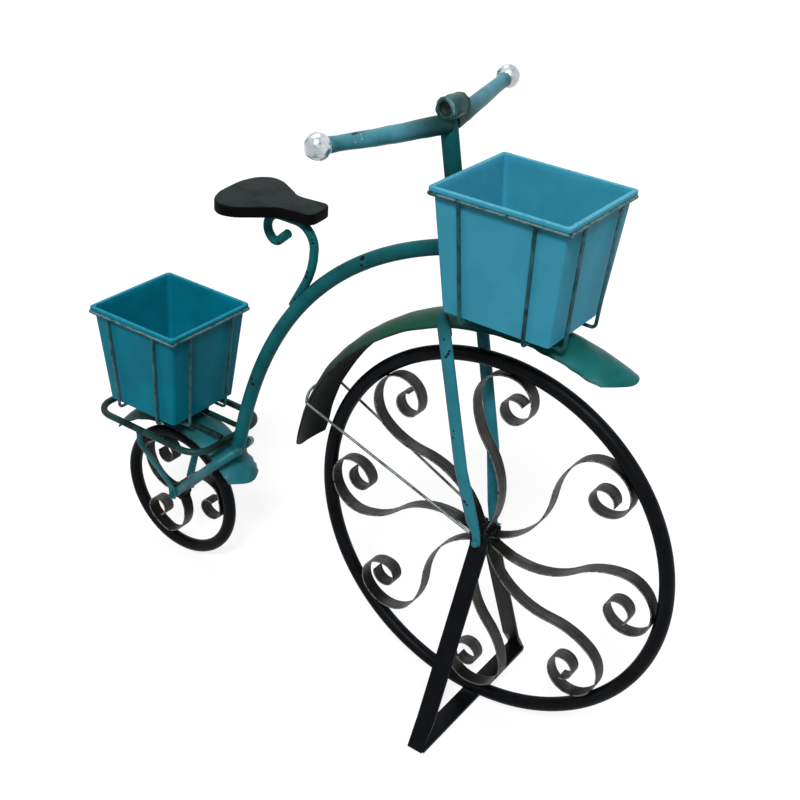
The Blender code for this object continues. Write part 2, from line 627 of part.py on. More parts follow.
def build_saddle(backbone_seat):
    """The curled bar that rises from the backbone, and the saddle board on it."""
    sweep = backbone_path(SEAT_ROOT_SAMPLES)[:-1]
    root = sweep[round(SEAT_BAR_ROOT_SHARE * (SEAT_ROOT_SAMPLES - 1))].copy()
    root.z += SEAT_BAR_ROOT_LIFT
    flat = arc_chain((root.x, root.z), SEAT_BAR_HEADING, SEAT_BAR_BEND_RADII, SEAT_BAR_BEND_TURNS,
                     SEAT_BAR_LEGS)
    path = [Vector((x, 0.0, z)) for x, z in flat]
    bar = add_piece("seat_bar", tube_mesh(path, SEAT_BAR_RADIUS, roundness=2), TEAL)
    cut(bar, backbone_seat)
    bar_top = max(point.z for point in path) + SEAT_BAR_RADIUS
    underside = bar_top + FIT_GAP
    middle = Vector((root.x + SADDLE_NOSE_FORWARD - SADDLE_LENGTH / 2, 0.0, underside))
    outline = [(SADDLE_LENGTH * (1 / 2 - a), SADDLE_HALF_WIDTH * b)
               for a, b in zip(SADDLE_OUTLINE_LENGTH_SHARES, SADDLE_OUTLINE_WIDTH_SHARES)]
    outline += [(x, -y) for x, y in outline[::-1]]
    turn = Matrix.Rotation(SADDLE_YAW, 4, "Z")
    smooth = smooth_loop([middle + turn @ Vector((x, y, 0.0)) for x, y in outline], 2)
    bm = bmesh.new()
    face = bm.faces.new([bm.verts.new(point) for point in smooth])
    raised = bmesh.ops.extrude_face_region(bm, geom=[face])["geom"]
    bmesh.ops.translate(bm, verts=[v for v in raised if isinstance(v, bmesh.types.BMVert)],
                        vec=(0.0, 0.0, SADDLE_THICKNESS))
    saddle = add_piece("saddle", mesh_from(bm), SLATE)
    soften = saddle.modifiers.new("edge", "BEVEL")
    soften.width = SADDLE_EDGE_BEVEL
    soften.segments = 1
    soften.limit_method = "ANGLE"


def smooth_loop(points, steps):
    """A closed smooth curve through the points, by Catmull-Rom pulls."""
    count = len(points)
    path = []
    for i in range(count):
        before, here, there, after = (points[(i + k) % count] for k in (-1, 0, 1, 2))
        path += interpolate_bezier(here, here + (there - before) / 6, there - (after - here) / 6, there,
                                   steps + 1)[:-1]
    return path


def build_stand():
    """Two flat legs on the front axle bolt and the bar on the ground that joins their feet."""
    legs = []
    foot_top = STAND_FOOT_THICKNESS + FIT_GAP
    width = Vector((STAND_BAR_WIDTH, 0.0, 0.0))
    for side_name, side in SIDES:
        top = Vector((FRONT_AXLE.x, side * STAND_LEG_Y, FRONT_AXLE.z + STAND_TOP_ABOVE_BOLT))
        bend = Vector((FRONT_AXLE.x, side * STAND_LEG_Y, FRONT_AXLE.z - STAND_TOP_RUN))
        foot_y = side * (STAND_FOOT_HALF_WIDTH - STAND_BAR_THICKNESS)
        foot = Vector((FRONT_AXLE.x + STAND_FOOT_FORWARD, foot_y, 0.0))
        leg = add_piece("stand_leg_" + side_name, ribbon_mesh([top, bend, foot], width), BLACK)
        thicken(leg, STAND_BAR_THICKNESS)
        legs.append(leg)
    ground = bmesh.new()
    reach = 2 * STAND_FOOT_HALF_WIDTH
    bmesh.ops.create_cube(ground, size=1.0, matrix=Matrix.Translation((FRONT_AXLE.x, 0.0, foot_top - reach / 2))
                          @ Matrix.Diagonal((reach, 2 * reach, reach, 1.0)))
    below = add_cutter("stand_foot_level", mesh_from(ground))
    for leg in legs:
        cut(leg, below)
    bar = bmesh.new()
    centre = Vector((FRONT_AXLE.x + STAND_FOOT_FORWARD, 0.0, STAND_FOOT_THICKNESS / 2))
    size = (STAND_BAR_WIDTH, 2 * STAND_FOOT_HALF_WIDTH, STAND_FOOT_THICKNESS, 1.0)
    bmesh.ops.create_cube(bar, size=1.0, matrix=Matrix.Translation(centre) @ Matrix.Diagonal(size))
    add_piece("stand_foot_bar", mesh_from(bar), BLACK)
    return legs


def build_stay_wire(fender):
    """One wire from the bolt up round the back of the fender and down to the other end of the bolt."""
    lift = FIT_GAP + STAY_WIRE_RADIUS
    eye_radius = BORE_RADIUS + STAY_WIRE_RADIUS
    leave = STAY_WIRE_ANGLE + pi / 2
    half = []
    turns = 9
    for step in range(turns + 1):
        angle = leave + STAY_WIRE_EYE_TURN * (1 - step / turns)
        half.append(FRONT_AXLE + Vector((eye_radius * cos(angle), STAY_WIRE_Y, eye_radius * sin(angle))))
    corner = fender.place(STAY_WIRE_ANGLE, 1.0, lift / 2) + Vector((0.0, lift + FIT_GAP, 0.0))
    steps = 5
    wrap = [fender.off_surface(STAY_WIRE_ANGLE, 1 - i / steps, lift + FIT_GAP) for i in range(1, steps + 1)]
    half += filleted([half[-1], corner, wrap[0]], STAY_WIRE_BEND, steps=3)[1:] + wrap[1:]
    other = [Vector((p.x, -p.y, p.z)) for p in half[-2::-1]]
    add_piece("fender_stay_wire", tube_mesh(half + other, STAY_WIRE_RADIUS, roundness=1), BARE_STEEL)


def build_axle(end, axle, stack):
    """The bolt through a wheel's hub and what is clamped outside it, and its nut."""
    head = prism_mesh(axle - Vector((0.0, stack + BOLT_HEAD_HEIGHT / 2, 0.0)), BOLT_HEAD_RADIUS,
                      BOLT_HEAD_HEIGHT, 6)
    tail = stack + NUT_HEIGHT + BOLT_TAIL
    shank_start = stack + BOLT_HEAD_HEIGHT / 2
    shank = add_cutter(end + "_shank", prism_mesh(axle + Vector((0.0, (tail - shank_start) / 2, 0.0)),
                                                  BOLT_RADIUS, tail + shank_start, ROUND_SIDES))
    bolt = add_piece(end + "_axle_bolt", head, GUNMETAL)
    join = bolt.modifiers.new("shank", "BOOLEAN")
    join.operation = "UNION"
    join.solver = "EXACT"
    join.object = shank
    nut = add_piece(end + "_axle_nut", prism_mesh(axle + Vector((0.0, stack + NUT_HEIGHT / 2, 0.0)),
                                                  BOLT_HEAD_RADIUS, NUT_HEIGHT, 6), GUNMETAL)
    drill([nut], end + "_nut_bore", axle, BORE_RADIUS, 2 * (tail + CUT_OVERRUN))


def rectangle(centre_x, half_length, half_width, z):
    """The corners of a level rectangle in the middle of the bicycle."""
    corners = ((1, 1), (-1, 1), (-1, -1), (1, -1))
    return [Vector((centre_x + a * half_length, b * half_width, z)) for a, b in corners]


def build_pot(name, centre_x, floor_z, top_size, bottom_size):
    """A tapered pot with a rolled lip, closed below and open above."""
    low = Vector(bottom_size) / 2
    rim = Vector(top_size) / 2
    wall_top = rim - Vector((POT_LIP_OVERHANG, POT_LIP_OVERHANG))
    wall = Vector((POT_WALL, POT_WALL))
    edge = POT_LIP_HEIGHT / 4
    lip_edge = Vector((edge, edge))
    top = floor_z + POT_HEIGHT
    under_lip = top - POT_LIP_HEIGHT
    levels = [(low, floor_z), (wall_top, under_lip), (rim - lip_edge, under_lip), (rim, under_lip + edge),
              (rim, top - edge), (rim - lip_edge, top), (wall_top - wall, top), (low - wall, floor_z + POT_WALL)]
    rings = [filleted(rectangle(centre_x, half.x, half.y, z), POT_CORNER_RADIUS, steps=3, closed=True)
             for half, z in levels]
    bm = bmesh.new()
    ring = [bm.verts.new(point) for point in rings[0]]
    edges = [bm.edges.new((ring[i - 1], ring[i])) for i in range(len(ring))]
    bmesh.ops.contextual_create(bm, geom=edges)
    for points in rings[1:]:
        pulled = bmesh.ops.extrude_edge_only(bm, edges=edges)["geom"]
        raised = {v for v in pulled if isinstance(v, bmesh.types.BMVert)}
        edges = [e for e in pulled if isinstance(e, bmesh.types.BMEdge) and raised.issuperset(e.verts)]
        ring = [next(e.other_vert(v) for e in v.link_edges if e.other_vert(v) in raised) for v in ring]
        for vertex, point in zip(ring, points):
            vertex.co = point
    bmesh.ops.contextual_create(bm, geom=edges)
    add_piece(name, mesh_from(bm), POT_TEAL)
    return wall_top, under_lip


def build_basket(end, centre_x, floor_z, wall_top, under_lip, top_size, bottom_size, across_below):
    """A wire ring under the pot's lip and four U-shaped wires, two each way, crossing under the pot."""
    wire = BASKET_WIRE_RADIUS
    clear = BASKET_RING_CLEARANCE + wire
    ring_half = wall_top + Vector((clear, clear))
    ring_z = under_lip - FIT_GAP - wire
    corners = rectangle(centre_x, ring_half.x, ring_half.y, ring_z)
    ring = filleted(corners, BASKET_CORNER_RADIUS, steps=4, closed=True)
    add_piece(end + "_basket_ring", tube_mesh(ring, wire, closed=True, roundness=2), GREEN)
    top_z = ring_z - wire - FIT_GAP
    low_clear = BASKET_LOW_CLEARANCE + wire
    low_half = Vector(bottom_size) / 2 + Vector((low_clear, low_clear))
    upper_z = floor_z - BASKET_FLOOR_CLEARANCE - wire
    lower_z = upper_z - 2 * wire - FIT_GAP
    number = 0
    for across in (True, False):
        low_z = lower_z if across == across_below else upper_z
        reach_axis, spread_axis = (1, 0) if across else (0, 1)
        for side in (RIGHT, LEFT):
            top = (ring_half[reach_axis], side * BASKET_TOP_SPREAD_SHARE * top_size[spread_axis], top_z)
            low = (low_half[reach_axis], side * BASKET_LOW_SPREAD_SHARE * bottom_size[spread_axis], low_z)
            bends = []
            for direction, (reach, beside, z) in ((1, top), (1, low), (-1, low), (-1, top)):
                x, y = (beside, direction * reach) if across else (direction * reach, beside)
                bends.append(Vector((centre_x + x, y, z)))
            number += 1
            path = filleted(bends, BASKET_CORNER_RADIUS, steps=3)
            add_piece(f"{end}_basket_wire_{number}", tube_mesh(path, wire, roundness=2), GREEN)


def build_rack(backbone_seat, ring_z):
    """The rounded ring of bar behind the backbone, and the two rails on it that carry the rear basket."""
    front = REAR_AXLE.x + RACK_FRONT_X
    back = front - RACK_LENGTH
    half = RACK_HALF_WIDTH
    corners = [Vector((x, y, ring_z)) for x, y in ((front, half), (back, half), (back, -half), (front, -half))]
    path = filleted(corners, RACK_CORNER_RADIUS, steps=5, closed=True)
    ring = add_piece("rack_ring", tube_mesh(path, RACK_BAR_RADIUS, closed=True, roundness=3), GREEN)
    cut(ring, backbone_seat)
    rail_z = ring_z + RACK_BAR_RADIUS + FIT_GAP + RACK_RAIL_RADIUS
    for side_name, side in SIDES:
        y = side * RACK_RAIL_HALF_SPACING
        ends = [Vector((back, y, rail_z)), Vector((front, y, rail_z))]
        add_piece("rack_rail_" + side_name, tube_mesh(ends, RACK_RAIL_RADIUS, roundness=2), GREEN)


def build_rear_stays(fender, rack_z):
    """Tubes from the backbone's foot to the axle, and thin bars from the rack to the axle."""
    stays = []
    for (side_name, side), (top_x, top_z) in zip(SIDES, REAR_STAY_TOPS):
        eye = REAR_AXLE + Vector((0.0, side * EYE_Y, 0.0))
        top_y = side * (BACKBONE_RADIUS + FIT_GAP + REAR_STAY_RADIUS)
        top = REAR_AXLE + Vector((top_x, top_y, top_z))
        bow = eye.lerp(top, REAR_STAY_BOW_SHARE)
        bow.y = side * (fender.half_width + REAR_STAY_BOW_CLEARANCE + REAR_STAY_RADIUS)
        line = (bow - eye).normalized()
        end = eye - line * EYE_END
        level = (line - Vector((0.0, line.y, 0.0))).normalized()
        path = filleted([top, bow, eye + line * FORK_EYE_RUN], REAR_STAY_BEND, steps=5)
        path += [eye + level * EYE_FLAT, eye, end]
        shares = [1.0] * (len(path) - 1) + [EYE_END_WIDTH_SHARE]
        mesh = tube_mesh(path, REAR_STAY_RADIUS, shares, roundness=3)
        press_flat(mesh, eye, EYE_FLAT, EYE_THICKNESS, 2 * REAR_STAY_RADIUS)
        stays.append(add_piece("rear_stay_" + side_name, mesh, TEAL))
        rack_top = rack_z - RACK_BAR_RADIUS - FIT_GAP
        flat = REAR_AXLE + Vector((0.0, side * RACK_STAY_Y, 0.0))
        hang = Vector((REAR_AXLE.x - RACK_STAY_BACK, side * RACK_HALF_WIDTH, rack_top))
        bend = hang - Vector((0.0, 0.0, RACK_STAY_TOP_RUN))
        up = Vector((bend.x - flat.x, 0.0, bend.z - flat.z)).normalized()
        leave = flat + up * EYE_FLAT
        path = filleted([hang, bend, leave], RACK_STAY_BEND, steps=4) + [flat, flat - up * EYE_END]
        wide = RACK_STAY_EYE_SHARE
        shares = [1.0] * (len(path) - 4) + [1.0, wide, wide, wide * EYE_END_WIDTH_SHARE]
        mesh = tube_mesh(path, RACK_STAY_RADIUS, shares, roundness=1)
        press_flat(mesh, flat, EYE_FLAT, RACK_STAY_THICKNESS, 2 * RACK_STAY_RADIUS * wide)
        bar = add_piece("rack_stay_" + side_name, mesh, GREEN)
        stays.append(bar)
    return stays


def build_planter():
    """Every piece of the planter, from the wheels up."""
    front_fender = Fender(FRONT_AXLE, FRONT_FENDER_RADIUS, FRONT_FENDER_HALF_WIDTH, FRONT_FENDER_DEPTH,
                          FRONT_FENDER_FLARE_SHARE, FRONT_FENDER_FLARE_START, FRONT_FENDER_FRONT,
                          FRONT_FENDER_BACK, FRONT_FENDER_STEPS)
    rear_fender = Fender(REAR_AXLE, REAR_FENDER_RADIUS, REAR_FENDER_HALF_WIDTH, REAR_FENDER_DEPTH,
                         REAR_FENDER_FLARE_SHARE, REAR_FENDER_FLARE_START, REAR_FENDER_FRONT,
                         REAR_FENDER_BACK, REAR_FENDER_STEPS)
    front_scroll = (FRONT_SCROLL_ARC_RADIUS_SHARES, FRONT_SCROLL_ARC_TURNS, FRONT_SCROLL_START_SHARES,
                    FRONT_SCROLL_HEADING)
    rear_scroll = (REAR_SCROLL_ARC_RADIUS_SHARES, REAR_SCROLL_ARC_TURNS, REAR_SCROLL_START_SHARES,
                   REAR_SCROLL_HEADING)
    build_wheel("front", FRONT_AXLE, FRONT_WHEEL_RADIUS, RIM_STEPS, HUB_HALF_LENGTH, FRONT_SCROLL_ANGLES,
                front_scroll)
    build_wheel("rear", REAR_AXLE, REAR_WHEEL_RADIUS, REAR_RIM_STEPS, HUB_HALF_LENGTH, REAR_SCROLL_ANGLES,
                rear_scroll)

    front_fender.add("front_fender", GREEN)
    rear_fender.add("rear_fender", TEAL)
    legs = build_fork(front_fender)
    stand_legs = build_stand()
    build_stay_wire(front_fender)
    build_axle("front", FRONT_AXLE, FRONT_STACK)
    drill(legs + stand_legs, "front_axle_bore", FRONT_AXLE, BORE_RADIUS, 2 * (FRONT_STACK + CUT_OVERRUN))

    stem_seat = build_stem(front_fender)
    backbone_seat = build_backbone(stem_seat, rear_fender)
    build_saddle(backbone_seat)

    wire = BASKET_WIRE_RADIUS
    stem_run = FRONT_FENDER_RADIUS * sin(STEM_LEAN) / cos(STEM_LEAN)
    front_pot_x = FRONT_AXLE.x - stem_run + FRONT_POT_FORWARD
    spread = BASKET_LOW_SPREAD_SHARE * FRONT_POT_BOTTOM[0]
    wire_places = [front_pot_x - spread, front_pot_x + spread]
    fender_top = max(front_fender.top_between(x - wire, x + wire) for x in wire_places)
    front_floor = fender_top + FIT_GAP + 2 * wire + BASKET_FLOOR_CLEARANCE
    shape = build_pot("front_pot", front_pot_x, front_floor, FRONT_POT_TOP, FRONT_POT_BOTTOM)
    build_basket("front", front_pot_x, front_floor, *shape, FRONT_POT_TOP, FRONT_POT_BOTTOM, False)
    rear_pot_x = REAR_AXLE.x - REAR_POT_BACK
    rack_z = REAR_AXLE.z + REAR_FENDER_RADIUS - RACK_BELOW_CROWN
    basket_bottom = rack_z + RACK_BAR_RADIUS + 2 * RACK_RAIL_RADIUS + 2 * FIT_GAP
    rear_floor = basket_bottom + FIT_GAP + 4 * wire + BASKET_FLOOR_CLEARANCE
    shape = build_pot("rear_pot", rear_pot_x, rear_floor, REAR_POT_TOP, REAR_POT_BOTTOM)
    build_basket("rear", rear_pot_x, rear_floor, *shape, REAR_POT_TOP, REAR_POT_BOTTOM, True)
    build_rack(backbone_seat, rack_z)
    rear_stays = build_rear_stays(rear_fender, rack_z)
    drill(rear_stays, "rear_axle_bore", REAR_AXLE, BORE_RADIUS, 2 * (REAR_STACK + CUT_OVERRUN))
    build_axle("rear", REAR_AXLE, REAR_STACK)


build_planter()
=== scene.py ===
"""Penny-farthing plant stand: the finish of every surface, the light and the camera.

Metres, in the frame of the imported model: +X to the bicycle's front, +Y to its left, +Z up. The finer
shapes here follow the steel frame's own sizes, and each one stands for the node that it refines.
"""

import logging
from dataclasses import dataclass, replace
from enum import Enum
from math import atan2, cos, hypot, pi, radians, sin
from typing import Callable, Optional, Sequence

import bmesh
import bpy
from mathutils import Matrix, Vector, noise
from mathutils.geometry import interpolate_bezier
from mathutils.kdtree import KDTree


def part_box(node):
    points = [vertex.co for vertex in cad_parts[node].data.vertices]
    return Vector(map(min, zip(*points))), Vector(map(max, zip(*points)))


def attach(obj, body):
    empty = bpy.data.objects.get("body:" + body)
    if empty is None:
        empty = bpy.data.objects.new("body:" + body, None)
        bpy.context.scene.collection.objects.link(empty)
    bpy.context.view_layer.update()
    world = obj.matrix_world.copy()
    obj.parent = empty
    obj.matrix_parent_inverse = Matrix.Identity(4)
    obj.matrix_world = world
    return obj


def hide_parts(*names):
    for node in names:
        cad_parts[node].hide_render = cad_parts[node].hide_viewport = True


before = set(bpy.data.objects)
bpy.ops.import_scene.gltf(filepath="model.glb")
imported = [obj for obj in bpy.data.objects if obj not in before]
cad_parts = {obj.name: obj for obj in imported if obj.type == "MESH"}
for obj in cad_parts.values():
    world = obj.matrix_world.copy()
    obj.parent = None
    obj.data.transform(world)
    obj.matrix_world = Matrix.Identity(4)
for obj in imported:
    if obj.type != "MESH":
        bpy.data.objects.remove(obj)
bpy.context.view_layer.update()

log = logging.getLogger("planter")

Colour = tuple[float, float, float]
FIT_GAP = 0.0003
SMOOTH_ANGLE = radians(40)
STRIP_ROWS = (-0.5, -0.46, -0.25, 0.0, 0.25, 0.46, 0.5)


class Body(str, Enum):
    """The bodies that a piece can move with."""

    FRAME = "frame"
    FRONT_WHEEL = "front_wheel"
    REAR_WHEEL = "rear_wheel"
    FRONT_POT = "front_pot"
    REAR_POT = "rear_pot"


class Slot(str, Enum):
    """The material slots that the finishes are sorted into."""

    TEAL = "teal_paint"
    POT = "pot_paint"
    GREEN = "dark_green_paint"
    BLACK = "black_paint"
    GUNMETAL = "burnished_steel"
    BARE = "bare_steel"
    SADDLE = "saddle_board"


def box_centre(node: str) -> Vector:
    """The middle of a node's box."""
    low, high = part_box(node)
    return (Vector(low) + Vector(high)) / 2


FRONT_AXLE = box_centre("front_rim")
REAR_AXLE = box_centre("rear_rim")
STEM_LINE = Vector((-sin(radians(12)), 0.0, cos(radians(12))))
FORK_LINE = Vector((-sin(radians(13)), 0.0, cos(radians(13))))
SIDES = (("right", -1), ("left", 1))


class Shading:
    """Short ways to lay the nodes of one material."""

    def __init__(self, material: bpy.types.Material) -> None:
        """Start from the material's shader and its Object coordinates."""
        self.tree = material.node_tree
        self.shader = self.tree.nodes["Principled BSDF"]
        self.place = self.tree.nodes.new("ShaderNodeTexCoord").outputs["Object"]

    def painted(self, name: str) -> bpy.types.Node:
        """An attribute that the mesh carries, 0 where it carries none."""
        node = self.tree.nodes.new("ShaderNodeAttribute")
        node.attribute_name = name
        return node

    def grain(self, scale: float, detail: float, offset: float,
              stretch: Optional[tuple[float, float, float]] = None) -> bpy.types.Node:
        """One layer of noise, moved so that no two layers agree.

        Args:
            scale: Patches a metre.
            detail: Finer layers inside it.
            offset: How far the pattern is moved.
            stretch: Shares of the scale along, across and square to a strip that carries its run.

        Returns:
            The noise node.
        """
        shift = self.tree.nodes.new("ShaderNodeMapping")
        shift.inputs["Location"].default_value = (offset, offset * 0.7, -offset)
        if stretch:
            shift.inputs["Scale"].default_value = stretch
        layer = self.tree.nodes.new("ShaderNodeTexNoise")
        layer.inputs["Scale"].default_value = scale
        layer.inputs["Detail"].default_value = detail
        layer.inputs["Roughness"].default_value = 0.62
        source = self.painted("run").outputs["Vector"] if stretch else self.place
        self.tree.links.new(source, shift.inputs["Vector"])
        self.tree.links.new(shift.outputs["Vector"], layer.inputs["Vector"])
        return layer

    def ramp(self, source: bpy.types.NodeSocket, low: float, high: float) -> bpy.types.NodeSocket:
        """0 at low and 1 at high, with soft ends."""
        step = self.tree.nodes.new("ShaderNodeMapRange")
        step.inputs["From Min"].default_value = low
        step.inputs["From Max"].default_value = high
        step.interpolation_type = "SMOOTHSTEP"
        self.tree.links.new(source, step.inputs["Value"])
        return step.outputs["Result"]

    def combine(self, kind: str, first: bpy.types.NodeSocket, second: bpy.types.NodeSocket | float
                ) -> bpy.types.NodeSocket:
        """Two values through one sum, kept from 0 to 1."""
        maths = self.tree.nodes.new("ShaderNodeMath")
        maths.operation = kind
        maths.use_clamp = True
        self.tree.links.new(first, maths.inputs[0])
        if isinstance(second, float):
            maths.inputs[1].default_value = second
        else:
            self.tree.links.new(second, maths.inputs[1])
        return maths.outputs["Value"]

    def blend(self, share: bpy.types.NodeSocket, under: bpy.types.NodeSocket | Colour | float,
              over: Colour | float) -> bpy.types.NodeSocket:
        """Lay one colour or number over another by a share."""
        is_colour = isinstance(over, tuple)
        mix = self.tree.nodes.new("ShaderNodeMix")
        mix.data_type = "RGBA" if is_colour else "FLOAT"
        first, second = (6, 7) if is_colour else (2, 3)
        self.tree.links.new(share, mix.inputs[0])
        if isinstance(under, (tuple, float)):
            mix.inputs[first].default_value = (*under, 1.0) if is_colour else under
        else:
            self.tree.links.new(under, mix.inputs[first])
        mix.inputs[second].default_value = (*over, 1.0) if is_colour else over
        return mix.outputs[2 if is_colour else 0]

    def spots(self, places: Sequence[tuple[float, float, float, float]], ragged: float
              ) -> bpy.types.NodeSocket:
        """Patches with torn edges at given places.

        Args:
            places: Each patch's middle and its radius.
            ragged: How far its edge wanders.

        Returns:
            1 inside the patches.
        """
        nodes, links = self.tree.nodes, self.tree.links
        wander = nodes.new("ShaderNodeVectorMath")
        wander.operation = "MULTIPLY_ADD"
        wander.inputs[1].default_value = (ragged,) * 3
        links.new(self.grain(260.0, 3.0, 2.2).outputs["Color"], wander.inputs[0])
        links.new(self.place, wander.inputs[2])
        total = None
        for *middle, radius in places:
            away = nodes.new("ShaderNodeVectorMath")
            away.operation = "DISTANCE"
            away.inputs[1].default_value = [value + ragged / 2 for value in middle]
            links.new(wander.outputs["Vector"], away.inputs[0])
            patch = self.ramp(away.outputs["Value"], radius, radius * 0.8)
            total = self.combine("MAXIMUM", total, patch) if total else patch
        return total


@dataclass(frozen=True)
class Finish:
    """A worn painted or burnished surface, mottled, stained and chipped by layered noise.

    Colours are linear. Scales are in patches a metre and covers are shares of the surface. Two
    attributes of a mesh, 0 to 1, steer it: the wear one brings the chip colour out, along rubbed edges
    and also as a painted highlight on the sleeve's near lip, the pots' lips and the hoops' tops, and
    the soot one darkens it to the stain colour, for soot and dark paint and also as painted shade in
    the sleeve's bore, on the saddle's sides and on the fenders under the pots.
    """

    name: str
    slot: Slot
    colour: Colour
    drift: Colour
    stain: Colour
    chip_and_highlight: Colour
    drift_scale: float = 14.0
    stain_scale: float = 22.0
    stain_cover: float = 0.25
    stain_softness: float = 0.12
    chip_scale: float = 95.0
    chip_cover: float = 0.0
    roughness: float = 0.45
    stain_roughness: float = 0.6
    specular: float = 0.22
    metallic: float = 0.0
    chip_metallic: float = 0.0
    bump_scale: float = 160.0
    bump_depth: float = 0.0004
    coat: float = 0.0
    brushed: bool = False
    bare_spots: tuple[tuple[float, float, float, float], ...] = ()
    bare: Colour = (0.003, 0.004, 0.005)
    flecks: tuple[tuple[float, float, float, float], ...] = ()
    fleck: Colour = (0.55, 0.75, 0.78)
    halfway: Optional[Colour] = None

    def build(self) -> bpy.types.Material:
        """Make the material.

        Returns:
            A material whose colour, roughness, metal and relief all follow the surface.
        """
        material = bpy.data.materials.new(self.name)
        material.use_nodes = True
        lay = Shading(material)
        shader, link = lay.shader, lay.tree.links.new
        middle, reach = 0.5, 0.16
        drift = lay.ramp(lay.grain(self.drift_scale, 3.0, 0.3).outputs["Fac"], middle - reach, middle + reach)
        edge = middle + reach * (1 - 2 * self.stain_cover)
        stained = lay.grain(self.stain_scale, 7.0, 1.7, (0.14, 2.2, 1.0) if self.brushed else None)
        stain = lay.ramp(stained.outputs["Fac"], edge - self.stain_softness, edge + self.stain_softness)
        # The soot attribute darkens towards the stain colour, for soot and dark paint and as painted shade.
        soot_and_shade = lay.painted("soot_and_shade").outputs["Fac"]
        soot_and_shade_level = lay.combine("ADD", soot_and_shade, lay.combine("MULTIPLY", soot_and_shade, stained.outputs["Fac"]))
        stain = lay.combine("MAXIMUM", stain, lay.ramp(soot_and_shade_level, 0.55 if self.halfway else 0.10, 1.0))
        speck = lay.grain(self.chip_scale, 4.0, 3.1).outputs["Fac"]
        # The wear attribute brings out the chip colour, for rubbed paint and as painted highlights.
        wear_and_highlight_share = lay.painted("wear_and_highlight").outputs["Fac"]
        chips_and_highlights = lay.combine("MULTIPLY", wear_and_highlight_share, lay.ramp(speck, 0.36, 0.52))
        if self.chip_cover:
            both = lay.combine("MULTIPLY", speck, lay.grain(self.chip_scale / 7, 2.0, 5.3).outputs["Fac"])
            level = 0.42 - 0.6 * self.chip_cover
            chips_and_highlights = lay.combine("MAXIMUM", chips_and_highlights, lay.ramp(both, level, level + 0.02))

        colour = lay.blend(drift, self.colour, self.drift)
        if self.halfway:
            colour = lay.blend(lay.ramp(soot_and_shade, 0.04, 0.30), colour, self.halfway)
        colour = lay.blend(stain, colour, self.stain)
        if self.brushed:
            hair = lay.grain(self.stain_scale, 3.0, 9.1, (0.22, 11.0, 1.0)).outputs["Fac"]
            colour = lay.blend(lay.combine("MULTIPLY", lay.ramp(hair, 0.50, 0.72), 0.55), colour, self.drift)
        colour = lay.blend(chips_and_highlights, colour, self.chip_and_highlight)
        relief_cut = chips_and_highlights
        if self.bare_spots:
            bare = lay.spots(self.bare_spots, 0.0045)
            colour = lay.blend(bare, colour, self.bare)
            relief_cut = lay.combine("MAXIMUM", chips_and_highlights, bare)
        if self.flecks:
            colour = lay.blend(lay.spots(self.flecks, 0.0020), colour, self.fleck)
        link(colour, shader.inputs["Base Color"])
        link(lay.blend(stain, self.roughness, self.stain_roughness), shader.inputs["Roughness"])
        if self.metallic != self.chip_metallic:
            link(lay.blend(chips_and_highlights, self.metallic, self.chip_metallic), shader.inputs["Metallic"])
        else:
            shader.inputs["Metallic"].default_value = self.metallic
        shader.inputs["Specular IOR Level"].default_value = self.specular
        shader.inputs["Coat Weight"].default_value = self.coat
        relief = lay.tree.nodes.new("ShaderNodeBump")
        relief.inputs["Strength"].default_value = 0.6
        relief.inputs["Distance"].default_value = self.bump_depth
        grain = lay.grain(self.bump_scale, 3.0, 7.9).outputs["Fac"]
        link(lay.combine("SUBTRACT", grain, relief_cut), relief.inputs["Height"])
        link(relief.outputs["Normal"], shader.inputs["Normal"])
        material.diffuse_color = (*self.colour, 1.0)
        return material


